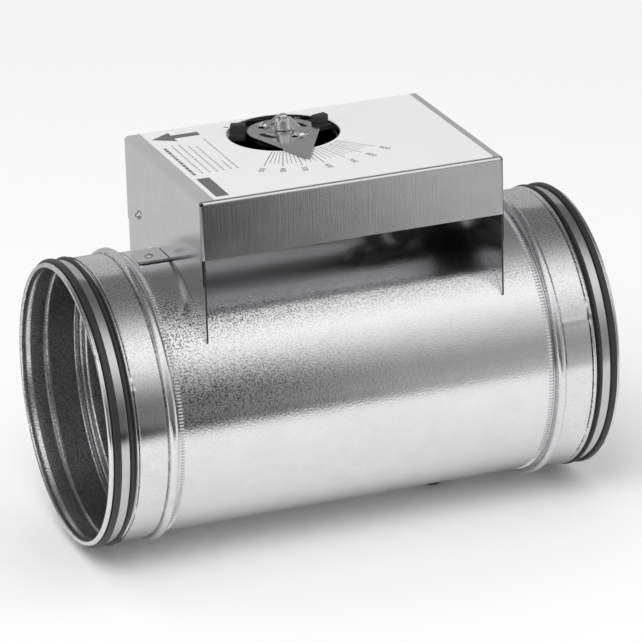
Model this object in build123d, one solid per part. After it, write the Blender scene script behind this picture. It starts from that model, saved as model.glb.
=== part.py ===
from build123d import *
import math
import os

# Mechanical constant-flow regulator in a round duct, in millimetres.
# X runs along the duct against the air flow, Z points up to the dial, and the
# origin is the middle of the duct's axis.

# Duct and its sheet
overall_length = 302.0
duct_outer_radius = 78.3
duct_wall = 0.7

# End collars: lap inside the duct, stop bead, spigot, crease, seal seat and rolled hem
collar_reach = 40.2
collar_wall = 0.7
lap_length = 9.0
lap_clearance = 0.05
spigot_step = 1.3
bead_offset = 3.6
bead_height = 2.7
bead_half_width = 3.0
bead_crown_radius = 2.1
crease_offset = 3.15
crease_width = 1.4
crease_depth = 0.6
seat_drop = 1.6
seat_width = 11.3
seat_entry_slope = 1.9
seat_exit_slope = 0.3
seat_end_offset = 2.6
hem_drop = 0.5
hem_roll_radius = 1.7
hem_return_length = 4.1

# Double-lip seal and the steel band between its lips
seal_thickness = 1.0
seal_margin = 0.2
lip_height = 2.0
lip_width = 2.7
lip_crown_width = 1.5
band_thickness = 0.5
band_margin = 0.3

# Cover over the setting mechanism
cover_end_inset = 22.3
cover_width = 125.5
cover_height = 50.2
cover_sheet = 1.0
cover_bend_radius = 2.0
flange_height = 33.3
end_flange_gap = 1.7
corner_seam = 0.15
corner_tab_width = 1.8
corner_relief_radius = 1.15
end_flange_inset = 1.15

# Label on the lid
label_thickness = 0.2
label_left_margin = 8.8
label_right_margin = 5.3
label_corner_radius = 1.5
label_hole_margin = 0.5

# Carrier plate and end brackets that hold the mechanism
bracket_sheet = 1.0
bracket_tab_length = 14.0
carrier_drop = 6.9
bracket_bend_radius = 2.0
bracket_side_gap = 1.1
bracket_notch_gap = 0.3
leg_inset = 0.25
saddle_gap = 0.3
foot_width = 17.6
foot_length = 18.3
foot_thickness = 1.2
foot_seat_gap = 0.05
foot_corner_radius = 2.0
foot_relief_radius = 0.9
foot_rivet_inset = 10.4
foot_rivet_radius = 2.0
foot_rivet_head_radius = 3.2
foot_rivet_head_height = 1.5
foot_rivet_tail_radius = 2.6
foot_rivet_tail_height = 1.6

# Screws that hold the cover to the end brackets
cover_screw_inset = 20.35
cover_screw_rise = 8.1
cover_screw_radius = 1.75
cover_screw_head_radius = 3.3
cover_screw_head_height = 1.9
cover_screw_length = 7.0
cross_recess_width = 0.8
cross_recess_length = 2.9
cross_recess_depth = 0.9

# Dial: disc, grips, pointer and lock
dial_inset_x = 6.0
dial_edge_distance = 34.35
dial_hole_radius = 31.6
dial_disc_gap = 0.7
dial_disc_thickness = 2.5
dial_rim_width = 1.4
dial_rim_height = 0.8
dial_boss_radius = 17.0
running_clearance = 0.05
moving_gap = 0.3
stud_radius = 2.5
stud_rise = 9.8
stud_head_radius = 5.0
stud_head_height = 2.0
pointer_angle = -94.8
pointer_radius = 20.2
pointer_reach = 47.8
pointer_tip_radius = 1.8
pointer_sheet = 1.0
pointer_slot_radius = 13.3
pointer_slot_width = 3.5
pointer_slot_sweep = 38.0
pointer_slot_first = 32.0
pointer_slot_count = 4
pointer_screw_radius = 1.5
pointer_screw_head_radius = 2.8
pointer_screw_head_height = 1.9
pointer_screw_depth = 4.0
pointer_washer_radius = 4.0
pointer_washer_thickness = 0.5
nut_washer_radius = 6.2
nut_washer_thickness = 0.8
nut_boss_radius = 5.2
nut_boss_top_radius = 4.3
nut_height = 5.3
wing_angle = -38.0
wing_reach = 10.0
wing_tip_height = 1.9
wing_top_rise = 1.6
wing_thickness = 1.5
grip_angle = 70.0
grip_inner_radius = 21.0
grip_length = 8.6
grip_thickness = 4.6
grip_rise = 5.4
grip_foot_thickness = 8.0
grip_foot_height = 3.6
grip_rounding = 0.9

# Setting linkage: crank pin under the dial, link rod and arm about the blade axle
crank_radius = 18.0
crank_angle = 76.6
dial_turn_down = 26.5
dial_turn_up = 44.3
slot_end_angle = 2.0
crank_pin_radius = 2.0
crank_pin_shoulder_radius = 3.2
crank_pin_seat_depth = 1.8
link_thickness = 1.6
link_width = 8.0
link_top_gap = 4.6
link_free_clearance = 0.35
clip_thickness = 0.8
clip_radius = 3.6
clip_mouth = 2.6
arm_thickness = 1.6
arm_gap = 0.4
arm_hub_radius = 7.5
arm_tip_radius = 4.2
arm_sleeve_radius = 5.0

# Blade and axle
axle_end_inset = 20.1
axle_radius = 2.5
axle_over_link = 1.6
blade_edge_gap = 1.6
blade_sheet = 1.0
blade_rest_angle = 15.0
clamp_sheet = 1.0
clamp_width = 9.0
clamp_foot_length = 7.5
clamp_spacing = 48.0
clamp_count = 3
blade_rivet_radius = 1.6
blade_rivet_head_radius = 2.8
blade_rivet_head_height = 1.0
blade_rivet_tail_radius = 2.3
blade_rivet_tail_height = 1.4

# Bearings in the duct wall
bearing_boss_radius = 4.5
bearing_flange_radius = 8.0
bearing_flange_height = 2.2
bearing_boss_height = 5.2
bearing_inner_depth = 0.9
bearing_hole_clearance = 0.05
lower_bearing_radius = 4.0
lower_bearing_length = 7.2
lower_bearing_dome = 2.6
axle_end_gap = 0.4
axle_clip_radius = 5.0

# Sector gear, rotary damper and spring
gear_module = 1.0
sector_full_teeth = 64
pinion_teeth = 16
pressure_angle = 20.0
tooth_thinning = 0.12
sector_thickness = 3.0
sector_first_angle = 121.0
sector_last_angle = 234.0
sector_hub_radius = 7.0
sector_hub_length = 6.0
sector_rim_width = 3.6
damper_direction = 215.0
damper_body_radius = 10.0
damper_ear_radius = 4.0
damper_ear_offset = 14.0
damper_ear_thickness = 2.0
damper_edge_chamfer = 1.0
damper_screw_radius = 1.5
damper_screw_head_radius = 2.7
damper_screw_head_height = 1.8
damper_recess_radius = 4.2
damper_recess_depth = 1.6
damper_pinion_gap = 5.1
pinion_thickness = 4.0
pinion_shaft_radius = 2.5
stop_radius = 20.0
stop_direction = 214.0
stop_pin_radius = 2.0
stop_head_radius = 3.2
stop_head_height = 1.2
stop_overrun = 1.5
blade_travel = 70.0
grub_radius = 1.5
grub_length = 4.4
spring_wire_radius = 0.6
spring_mean_radius = 7.2
spring_turns = 4
spring_pitch = 1.6
spring_end_gap = 0.5
spring_top_gap = 0.3
spring_leg_length = 7.0
spring_turn = 208.0
spring_post_radius = 1.2
spring_post_height = 2.2

# Places of the duct and collars, worked out from the sizes above
half_length = overall_length / 2
duct_half_length = half_length - collar_reach
duct_inner_radius = duct_outer_radius - duct_wall
spigot_radius = duct_outer_radius + spigot_step
bead_x = duct_half_length + bead_offset
bead_radius = spigot_radius + bead_height
seat_radius = spigot_radius - seat_drop
seat_end_x = half_length - seat_end_offset
seat_start_x = seat_end_x - seat_width
crease_x = seat_start_x - crease_offset
hem_outer_radius = spigot_radius - hem_drop
seal_radius = seat_radius + seal_thickness
seal_start_x = seat_start_x + seal_margin
seal_end_x = seat_end_x - seal_margin
lip_radius = seal_radius + lip_height

# Places of the cover, carrier plate and end brackets
cover_length = 2 * (duct_half_length - cover_end_inset)
cover_top_z = duct_outer_radius + cover_height
cover_inner_end_x = cover_length / 2 - cover_sheet
cover_inner_side_y = cover_width / 2 - cover_sheet
end_flange_bottom_z = duct_outer_radius + end_flange_gap
cover_screw_y = cover_width / 2 - cover_screw_inset
cover_screw_z = end_flange_bottom_z + cover_screw_rise
label_top_z = cover_top_z + label_thickness
carrier_top_z = cover_top_z - carrier_drop
carrier_bottom_z = carrier_top_z - bracket_sheet
leg_width = cover_width - 2 * leg_inset
foot_bottom_z = duct_outer_radius + foot_seat_gap
foot_top_z = foot_bottom_z + foot_thickness
foot_rivet_x = cover_inner_end_x + foot_rivet_inset

# Places of the dial
dial_x = -dial_inset_x
dial_y = cover_width / 2 - dial_edge_distance
dial_centre = (dial_x, dial_y)
dial_disc_radius = dial_hole_radius - dial_disc_gap
dial_disc_bottom_z = carrier_top_z + moving_gap
dial_disc_top_z = dial_disc_bottom_z + dial_disc_thickness
grip_outer_radius = grip_inner_radius + grip_length
grip_top_z = cover_top_z + grip_rise
pointer_bottom_z = label_top_z + moving_gap
pointer_top_z = pointer_bottom_z + pointer_sheet
stud_top_z = pointer_top_z + stud_rise

# Places of the linkage, spring and gears, from the carrier plate downwards
link_top_z = carrier_bottom_z - link_top_gap
link_bottom_z = link_top_z - link_thickness
arm_top_z = link_bottom_z - arm_gap
arm_bottom_z = arm_top_z - arm_thickness
axle_top_z = link_top_z + axle_over_link
spring_height = spring_turns * spring_pitch + 2 * spring_wire_radius
sector_top_z = arm_bottom_z - spring_top_gap - spring_height - spring_end_gap
sector_bottom_z = sector_top_z - sector_thickness
damper_bottom_z = sector_top_z + damper_pinion_gap
sector_pitch_radius = gear_module * sector_full_teeth / 2
pinion_pitch_radius = gear_module * pinion_teeth / 2
gear_distance = sector_pitch_radius + pinion_pitch_radius
axle_x = cover_inner_end_x - axle_end_inset
axle_centre = (axle_x, 0.0)
blade_radius = duct_inner_radius - blade_edge_gap
lower_cap_end_z = -duct_outer_radius - lower_bearing_length
axle_bottom_z = lower_cap_end_z + lower_bearing_dome / 2 + axle_end_gap


def polar(radius, angle, centre=(0.0, 0.0)):
    """Point at a radius and an angle in degrees about a centre."""
    turn = math.radians(angle)
    return (centre[0] + radius * math.cos(turn), centre[1] + radius * math.sin(turn))


crank_offset = polar(crank_radius, crank_angle)
dial_pin_centre = (dial_x + crank_offset[0], dial_y + crank_offset[1])
arm_pin_centre = (axle_x + crank_offset[0], crank_offset[1])
damper_centre = polar(gear_distance, damper_direction, axle_centre)
stop_centre = polar(stop_radius, stop_direction, axle_centre)


def rod(radius, low_z, high_z, centre=(0.0, 0.0)):
    """Upright cylinder between two heights."""
    middle = (low_z + high_z) / 2
    return Pos(centre[0], centre[1], middle) * Cylinder(radius, high_z - low_z)


def block(low, high):
    """Box between two opposite corners."""
    size = [b - a for a, b in zip(low, high)]
    middle = [(a + b) / 2 for a, b in zip(low, high)]
    return Pos(*middle) * Box(*size)


def plate(outline, low_z, high_z):
    """Flat piece with the given outline between two heights."""
    return Pos(0, 0, low_z) * extrude(outline, amount=high_z - low_z)


def stadium(first, second, radius_first, radius_second):
    """Outline round two circles, joined by their outer tangents."""
    return make_hull(
        (Pos(*first) * Circle(radius_first)).edges() + (Pos(*second) * Circle(radius_second)).edges()
    )


def arc_slot(radius, width, first_angle, last_angle, centre=(0.0, 0.0)):
    """Outline of a slot with round ends that follows an arc about a centre."""
    half = width / 2
    ring = Circle(radius + half) - Circle(radius - half)
    reach = 2 * radius
    wedge_points = [(0, 0)]
    steps = 6
    for step in range(steps + 1):
        angle = first_angle + (last_angle - first_angle) * step / steps
        wedge_points.append(polar(reach, angle))
    wedge = make_face(Polyline(*wedge_points, close=True))
    slot = (ring & wedge) + Pos(*polar(radius, first_angle)) * Circle(half)
    slot += Pos(*polar(radius, last_angle)) * Circle(half)
    return Pos(*centre) * slot


def dome_head(radius, height):
    """Low round head of a rivet or screw, flat face down on the XY plane."""
    ball_radius = (radius**2 + height**2) / (2 * height)
    profile = make_face(
        Curve()
        + [
            Line((0, 0), (radius, 0)),
            ThreePointArc(
                (radius, 0),
                (
                    ball_radius * math.sin(math.asin(radius / ball_radius) / 2),
                    height - ball_radius * (1 - math.cos(math.asin(radius / ball_radius) / 2)),
                ),
                (0, height),
            ),
            Line((0, height), (0, 0)),
        ]
    )
    return revolve(Plane.XZ * profile, Axis.Z)


def cross_recess(top):
    """Cross-shaped driver recess that is cut down from a height."""
    low = top - cross_recess_depth
    half_width = cross_recess_width / 2
    half_length = cross_recess_length / 2
    high = top + cross_recess_depth
    return block((-half_length, -half_width, low), (half_length, half_width, high)) + block(
        (-half_width, -half_length, low), (half_width, half_length, high)
    )


def retaining_clip(bore, outer_radius, low_z, centre, mouth_angle):
    """Flat snap clip with an open mouth."""
    outline = Circle(outer_radius) - Circle(bore)
    mouth = Pos(outer_radius, 0) * Rectangle(2 * outer_radius, clip_mouth)
    outline -= Rot(0, 0, mouth_angle) * mouth
    return plate(Pos(*centre) * outline, low_z, low_z + clip_thickness)


# Duct and collars

def make_duct_tube():
    """Main tube with the two axle holes and the rivet holes of the feet."""
    tube = Cylinder(duct_outer_radius, 2 * duct_half_length) - Cylinder(duct_inner_radius, overall_length)
    tube = Rot(0, 90, 0) * tube
    tube -= rod(bearing_boss_radius + bearing_hole_clearance, 0, overall_length, axle_centre)
    tube -= rod(lower_bearing_radius + bearing_hole_clearance, -overall_length, 0, axle_centre)
    for side in (-1, 1):
        tube -= rod(foot_rivet_radius, 0, overall_length, (side * foot_rivet_x, 0))
    return tube


def collar_profile():
    """Section of the collar's sheet, with X along the duct and Y as the radius."""
    lap_radius = duct_inner_radius - lap_clearance
    lap_start = duct_half_length - lap_length
    crown_height = bead_radius - bead_crown_radius / 2
    hem_x = half_length - hem_roll_radius
    hem_centre_radius = hem_outer_radius - hem_roll_radius
    crease_end = crease_x + crease_width / 2
    outer_line = Curve() + [
        Polyline(
            (lap_start, lap_radius),
            (bead_x - bead_half_width, lap_radius),
            (bead_x - bead_crown_radius, crown_height),
        ),
        ThreePointArc(
            (bead_x - bead_crown_radius, crown_height),
            (bead_x, bead_radius),
            (bead_x + bead_crown_radius, crown_height),
        ),
        Polyline(
            (bead_x + bead_crown_radius, crown_height),
            (bead_x + bead_half_width, spigot_radius),
            (crease_x - crease_width / 2, spigot_radius),
            (crease_x, spigot_radius - crease_depth),
            (crease_end, spigot_radius),
            (seat_start_x - seat_entry_slope, spigot_radius),
            (seat_start_x, seat_radius),
            (seat_end_x, seat_radius),
            (seat_end_x + seat_exit_slope, hem_outer_radius),
            (hem_x, hem_outer_radius),
        ),
        ThreePointArc(
            (hem_x, hem_outer_radius),
            (half_length, hem_centre_radius),
            (hem_x, hem_centre_radius - hem_roll_radius),
        ),
        Line(
            (hem_x, hem_centre_radius - hem_roll_radius),
            (hem_x - hem_return_length, hem_centre_radius - hem_roll_radius),
        ),
    ]
    sheet = offset(Wire(outer_line.edges()), amount=collar_wall, side=Side.RIGHT, kind=Kind.INTERSECTION)
    return make_face(sheet.edges())


def make_collar():
    """Upstream collar, revolved about the duct's axis."""
    return revolve(collar_profile(), Axis.X)


def lip_points(low_x, high_x):
    """Crown of one seal lip between two places along the duct."""
    middle = (low_x + high_x) / 2
    shoulder = lip_radius - (lip_width - lip_crown_width) / 2
    return [
        (low_x, shoulder),
        (middle - lip_crown_width / 4, lip_radius),
        (middle + lip_crown_width / 4, lip_radius),
        (high_x, shoulder),
    ]


def make_gasket():
    """Upstream rubber seal with an inner and an outer lip."""
    outline = Polyline(
        (seal_start_x, seat_radius),
        *lip_points(seal_start_x, seal_start_x + lip_width),
        (seal_start_x + lip_width, seal_radius),
        (seal_end_x - lip_width, seal_radius),
        *lip_points(seal_end_x - lip_width, seal_end_x),
        (seal_end_x, seat_radius),
        close=True,
    )
    return revolve(make_face(outline), Axis.X)


def make_clamp_band():
    """Upstream steel band that presses the seal down between its lips."""
    low_x = seal_start_x + lip_width + band_margin
    high_x = seal_end_x - lip_width - band_margin
    middle = (low_x + high_x) / 2
    section = Pos(middle, seal_radius + band_thickness / 2) * Rectangle(high_x - low_x, band_thickness)
    return revolve(section, Axis.X)


# Cover, label, carrier plate and end brackets

def bent_channel(width, top_z, bottom_z, sheet, bend_radius, length):
    """Upside-down U of bent sheet, its legs across X, extruded along Y."""
    inner_radius = bend_radius - sheet
    height = top_z - bottom_z + bend_radius
    outer = RectangleRounded(width, 2 * height, bend_radius)
    inner = RectangleRounded(width - 2 * sheet, 2 * (height - sheet), inner_radius)
    section = (outer - inner) & Pos(0, height) * Rectangle(2 * width, 2 * (top_z - bottom_z))
    section = Pos(0, top_z - height) * section
    return extrude(Plane.XZ * section, amount=length / 2, both=True)


def rounded_box(length, width, top_z, bottom_z, radius):
    """Box with rounded top and upright edges."""
    box = block((-length / 2, -width / 2, bottom_z), (length / 2, width / 2, top_z))
    round_edges = box.edges().filter_by(Axis.Z) + box.faces().sort_by(Axis.Z)[-1].edges()
    return fillet(round_edges, radius)


def make_cover():
    """Five-sided sheet cover: bent flanges, seamed corners with a relief hole, dial hole."""
    side_bottom_z = cover_top_z - flange_height
    outer = rounded_box(cover_length, cover_width, cover_top_z, end_flange_bottom_z, cover_bend_radius)
    inner = rounded_box(
        2 * cover_inner_end_x,
        2 * cover_inner_side_y,
        cover_top_z - cover_sheet,
        end_flange_bottom_z,
        cover_bend_radius - cover_sheet,
    )
    cover = outer - inner
    end_half_width = cover_width / 2 - end_flange_inset
    cover -= block((-cover_inner_end_x, -cover_width, 0), (cover_inner_end_x, cover_width, side_bottom_z))
    for side_y in (-1, 1):
        strip = block((-cover_length, end_half_width, 0), (cover_length, cover_width, side_bottom_z))
        cover -= Rot(0, 0, 90 - 90 * side_y) * strip
        for side_x in (-1, 1):
            seam_x = side_x * (cover_length / 2 - corner_tab_width)
            seam = Pos(seam_x, side_y * cover_width / 2, (side_bottom_z + cover_top_z) / 2)
            cover -= seam * Box(corner_seam, 3 * cover_sheet, flange_height - 2 * cover_bend_radius)
            corner = Plane(
                origin=(
                    side_x * (cover_length / 2 - cover_bend_radius),
                    side_y * (cover_width / 2 - cover_bend_radius),
                    cover_top_z - cover_bend_radius,
                ),
                z_dir=(side_x, side_y, 1),
            )
            cover -= corner * Pos(0, 0, cover_bend_radius) * Cylinder(corner_relief_radius, 3 * cover_sheet)
    cover -= rod(dial_hole_radius, end_flange_bottom_z, cover_top_z + cover_sheet, dial_centre)
    for side in (-1, 1):
        cover -= cover_screw_hole(side)
    return cover


def cover_screw_hole(side):
    """Cross hole of the screw in one end flange."""
    hole = Rot(0, 90, 0) * Cylinder(cover_screw_radius, 4 * cover_screw_length)
    return Pos(side * cover_inner_end_x, cover_screw_y, cover_screw_z) * hole


def make_label():
    """Printed label between the bends of the lid, open round the dial."""
    low_x = -cover_length / 2 + label_left_margin
    high_x = cover_length / 2 - label_right_margin
    width = cover_width - 2 * cover_bend_radius
    outline = Pos((low_x + high_x) / 2, 0) * RectangleRounded(high_x - low_x, width, label_corner_radius)
    outline -= Pos(*dial_centre) * Circle(dial_hole_radius + label_hole_margin)
    return plate(outline, cover_top_z, label_top_z)


def make_carrier_plate():
    """Flat plate under the lid that carries the mechanism, welded to the end brackets."""
    carrier = Rectangle(2 * cover_inner_end_x, 2 * (cover_inner_side_y - bracket_side_gap))
    return plate(carrier, carrier_bottom_z, carrier_top_z) - carrier_cutouts()


def make_end_brackets():
    """Two bent brackets: a tab under the carrier plate, a leg over the duct and a foot."""
    leg_bottom_z = math.sqrt((duct_outer_radius + saddle_gap) ** 2 - (leg_width / 2) ** 2)
    upper_width = 2 * (cover_inner_side_y - bracket_side_gap)
    shell = bent_channel(
        2 * cover_inner_end_x, carrier_bottom_z, leg_bottom_z, bracket_sheet, bracket_bend_radius, leg_width
    )
    notch_bottom_z = cover_top_z - flange_height - bracket_notch_gap
    for side in (-1, 1):
        notch = block(
            (-cover_length, upper_width / 2, notch_bottom_z), (cover_length, cover_width, cover_top_z)
        )
        shell -= Rot(0, 0, 90 - 90 * side) * notch
    shell -= Rot(0, 90, 0) * Cylinder(duct_outer_radius + saddle_gap, 2 * cover_length)
    feet = block(
        (-cover_inner_end_x - foot_length, -foot_width / 2, foot_bottom_z),
        (cover_inner_end_x + foot_length, foot_width / 2, foot_top_z),
    )
    feet = fillet(feet.edges().filter_by(Axis.Z), foot_corner_radius)
    inside_x = cover_inner_end_x - bracket_sheet
    feet -= block((-inside_x, -foot_width, 0), (inside_x, foot_width, cover_top_z))
    brackets = shell + feet
    for side_y in (-1, 1):
        relief_y = side_y * (foot_width / 2 + foot_relief_radius)
        relief = Pos(0, relief_y, foot_top_z) * Rot(0, 90, 0) * Cylinder(foot_relief_radius, cover_length)
        brackets -= relief
    for side in (-1, 1):
        brackets -= rod(foot_rivet_radius, 0, end_flange_bottom_z, (side * foot_rivet_x, 0))
        brackets -= cover_screw_hole(side)
    tab_end_x = cover_inner_end_x - bracket_tab_length
    brackets -= block((-tab_end_x, -cover_width, 0), (tab_end_x, cover_width, cover_top_z))
    return brackets.solids()


def carrier_cutouts():
    """Holes and the arc slot in the carrier plate."""
    slot_width = 2 * (crank_pin_radius + moving_gap)
    openings = arc_slot(
        crank_radius,
        slot_width,
        crank_angle - dial_turn_down - slot_end_angle,
        crank_angle + dial_turn_up + slot_end_angle,
        dial_centre,
    )
    openings += Pos(*dial_centre) * Circle(stud_radius)
    openings += Pos(*stop_centre) * Circle(stop_pin_radius)
    for centre in damper_ear_centres():
        openings += Pos(*centre) * Circle(damper_screw_radius)
    return plate(openings, carrier_bottom_z - bracket_sheet, carrier_top_z + bracket_sheet)


def make_foot_rivets():
    """Two blind rivets that hold the end brackets' feet to the duct."""
    inner_z = math.sqrt(duct_inner_radius**2 - foot_rivet_tail_radius**2)
    rivet = rod(foot_rivet_radius, inner_z - foot_rivet_tail_height, foot_top_z)
    rivet += Pos(0, 0, foot_top_z) * dome_head(foot_rivet_head_radius, foot_rivet_head_height)
    rivet += rod(foot_rivet_tail_radius, inner_z - foot_rivet_tail_height, inner_z)
    return [Pos(side * foot_rivet_x, 0, 0) * rivet for side in (-1, 1)]


def make_cover_screws():
    """Two pan-head screws through the end flanges into the end brackets."""
    screw = rod(cover_screw_radius, cover_screw_head_height - cover_screw_length, 0)
    screw += dome_head(cover_screw_head_radius, cover_screw_head_height)
    screw -= cross_recess(cover_screw_head_height)
    placed = []
    for side in (-1, 1):
        turned = Rot(0, 90 * side, 0) * screw
        placed.append(Pos(side * cover_length / 2, cover_screw_y, cover_screw_z) * turned)
    return placed


# Dial

def make_dial_disc():
    """Moulded disc with rim, centre boss and two upright grips."""
    disc = rod(dial_disc_radius, dial_disc_bottom_z, dial_disc_top_z)
    rim = rod(dial_disc_radius, dial_disc_top_z, dial_disc_top_z + dial_rim_height)
    rim -= rod(dial_disc_radius - dial_rim_width, 0, cover_top_z)
    disc += rim
    disc += rod(dial_boss_radius, dial_disc_top_z, pointer_bottom_z)
    back_angle = pointer_angle + 180
    for side in (-1, 1):
        disc += Rot(0, 0, back_angle + side * grip_angle) * make_grip()
    disc -= rod(stud_radius + running_clearance, 0, stud_top_z)
    for centre in pointer_screw_centres():
        disc -= rod(pointer_screw_radius, pointer_bottom_z - pointer_screw_depth, pointer_top_z, centre)
    pin_top_z = dial_disc_bottom_z + crank_pin_seat_depth
    disc -= rod(crank_pin_radius, 0, pin_top_z, crank_offset)
    return Pos(*dial_centre, 0) * disc


def make_grip():
    """One grip along +X: an upright lug on a wider foot."""
    lug = block(
        (grip_inner_radius, -grip_thickness / 2, dial_disc_top_z),
        (grip_outer_radius, grip_thickness / 2, grip_top_z),
    )
    lug = fillet(lug.faces().sort_by(Axis.Z)[-1].edges(), grip_rounding)
    foot = block(
        (grip_inner_radius, -grip_foot_thickness / 2, dial_disc_top_z - dial_disc_thickness / 2),
        (dial_disc_radius - dial_rim_width / 2, grip_foot_thickness / 2, dial_disc_top_z + grip_foot_height),
    )
    inside = rod(dial_disc_radius, dial_disc_bottom_z, cover_top_z)
    return lug + (foot & inside)


def pointer_screw_centres():
    """Places of the two pointer screws, about the dial's centre."""
    angle = pointer_angle + pointer_slot_first
    return [polar(pointer_slot_radius, angle), polar(pointer_slot_radius, angle + 180)]


def make_pointer_plate():
    """Pick-shaped pointer with four arc slots for its adjustment."""
    tip = polar(pointer_reach, pointer_angle)
    outline = stadium((0, 0), tip, pointer_radius, pointer_tip_radius)
    outline -= Circle(stud_radius + moving_gap)
    for index in range(pointer_slot_count):
        middle = pointer_angle + pointer_slot_first + index * 360 / pointer_slot_count
        half_sweep = pointer_slot_sweep / 2
        outline -= arc_slot(
            pointer_slot_radius, pointer_slot_width, middle - half_sweep, middle + half_sweep
        )
    return Pos(*dial_centre, 0) * plate(outline, pointer_bottom_z, pointer_top_z)


def make_pointer_washers():
    """Washers under the two pointer screws."""
    washer = Circle(pointer_washer_radius) - Circle(pointer_screw_radius)
    top_z = pointer_top_z + pointer_washer_thickness
    return [
        Pos(*dial_centre, 0) * plate(Pos(*centre) * washer, pointer_top_z, top_z)
        for centre in pointer_screw_centres()
    ]


def make_pointer_screws():
    """Two pan-head screws that hold the pointer on the disc's boss."""
    head_z = pointer_top_z + pointer_washer_thickness
    screw = rod(pointer_screw_radius, pointer_bottom_z - pointer_screw_depth, head_z)
    screw += Pos(0, 0, head_z) * dome_head(pointer_screw_head_radius, pointer_screw_head_height)
    screw -= cross_recess(head_z + pointer_screw_head_height)
    return [
        Pos(dial_x + centre[0], dial_y + centre[1], 0) * screw for centre in pointer_screw_centres()
    ]


def make_nut_washer():
    """Washer between the pointer and the wing nut."""
    outline = Circle(nut_washer_radius) - Circle(stud_radius + moving_gap)
    return Pos(*dial_centre, 0) * plate(outline, pointer_top_z, pointer_top_z + nut_washer_thickness)


def make_dial_stud():
    """Stud with a flat head under the carrier plate and a domed end."""
    stud = rod(stud_radius, carrier_bottom_z, stud_top_z)
    stud = fillet(stud.faces().sort_by(Axis.Z)[-1].edges(), stud_radius * 0.6)
    stud += rod(stud_head_radius, carrier_bottom_z - stud_head_height, carrier_bottom_z)
    return Pos(*dial_centre, 0) * stud


def make_wing_nut():
    """Wing nut: tapered boss and two wings that slope down outwards."""
    base_z = pointer_top_z + nut_washer_thickness + moving_gap
    top_z = base_z + nut_height
    boss = Pos(0, 0, (base_z + top_z) / 2) * Cone(nut_boss_radius, nut_boss_top_radius, nut_height)
    wing_outline = Polyline(
        (0, base_z + wing_tip_height / 3),
        (wing_reach * 0.9, base_z + wing_tip_height / 3),
        (wing_reach, base_z + wing_tip_height),
        (wing_reach * 0.86, base_z + 1.6 * wing_tip_height),
        (nut_boss_top_radius, top_z + wing_top_rise),
        (0, top_z + wing_top_rise),
        close=True,
    )
    wing = extrude(Plane.XZ * make_face(wing_outline), amount=wing_thickness / 2, both=True)
    nut = boss + wing + Rot(0, 0, 180) * wing
    nut -= rod(stud_radius + running_clearance, 0, stud_top_z)
    return Pos(*dial_centre, 0) * Rot(0, 0, wing_angle) * nut


# Setting linkage

def make_dial_pin():
    """Shouldered crank pin, seated in the disc and passing through the carrier plate."""
    seat_top_z = dial_disc_bottom_z + crank_pin_seat_depth
    end_z = link_bottom_z - moving_gap - clip_thickness - moving_gap
    pin = rod(crank_pin_radius, end_z, seat_top_z)
    pin += rod(crank_pin_shoulder_radius, link_top_z + moving_gap, carrier_bottom_z - moving_gap)
    return Pos(*dial_pin_centre, 0) * pin


def make_link_rod():
    """Flat link between the dial's crank pin and the setting arm."""
    outline = stadium(dial_pin_centre, arm_pin_centre, link_width / 2, link_width / 2)
    outline -= Pos(*dial_pin_centre) * Circle(crank_pin_radius + running_clearance)
    outline -= Pos(*arm_pin_centre) * Circle(crank_pin_radius + link_free_clearance)
    return plate(outline, link_bottom_z, link_top_z)


def make_setting_arm():
    """Arm and sleeve that turn on the axle and load the spring."""
    outline = stadium(axle_centre, arm_pin_centre, arm_hub_radius, arm_tip_radius)
    arm = plate(outline, arm_bottom_z, arm_top_z)
    arm += rod(arm_sleeve_radius, sector_top_z + moving_gap, arm_bottom_z, axle_centre)
    arm -= rod(axle_radius + running_clearance, 0, axle_top_z, axle_centre)
    return arm - rod(crank_pin_radius, 0, axle_top_z, arm_pin_centre)


def make_arm_pin():
    """Pin riveted in the arm's end."""
    end_z = link_top_z + 2 * moving_gap + clip_thickness
    return rod(crank_pin_radius, arm_bottom_z, end_z, arm_pin_centre)


def make_dial_pin_clip():
    """Snap clip under the link on the dial's pin."""
    low_z = link_bottom_z - moving_gap - clip_thickness
    return retaining_clip(crank_pin_radius, clip_radius, low_z, dial_pin_centre, crank_angle)


def make_arm_pin_clip():
    """Snap clip over the link on the arm's pin."""
    return retaining_clip(crank_pin_radius, clip_radius, link_top_z + moving_gap, arm_pin_centre, crank_angle)


# Blade and axle

def make_blade_axle():
    """Round axle across the duct, up to the setting arm."""
    return rod(axle_radius, axle_bottom_z, axle_top_z, axle_centre)


def turn_blade(shape):
    """Put a piece drawn along X about the origin onto the axle at the blade's rest angle."""
    return Pos(axle_x, 0, 0) * Rot(0, 0, blade_rest_angle) * shape


def make_damper_blade():
    """Round sheet blade, tangent to the axle."""
    disc = Rot(90, 0, 0) * Cylinder(blade_radius, blade_sheet)
    disc = Pos(0, axle_radius + blade_sheet / 2, 0) * disc
    for x, z in blade_rivet_places():
        disc -= Pos(x, axle_radius, z) * Rot(90, 0, 0) * Cylinder(blade_rivet_radius, 4 * blade_sheet)
    return turn_blade(disc)


def clamp_heights():
    """Heights of the clamps along the axle."""
    first = -clamp_spacing * (clamp_count - 1) / 2
    return [first + clamp_spacing * index for index in range(clamp_count)]


def blade_rivet_places():
    """Places of the clamp rivets on the blade, as X and Z."""
    reach = axle_radius + clamp_sheet + clamp_foot_length / 2
    return [(side * reach, z) for z in clamp_heights() for side in (-1, 1)]


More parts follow.
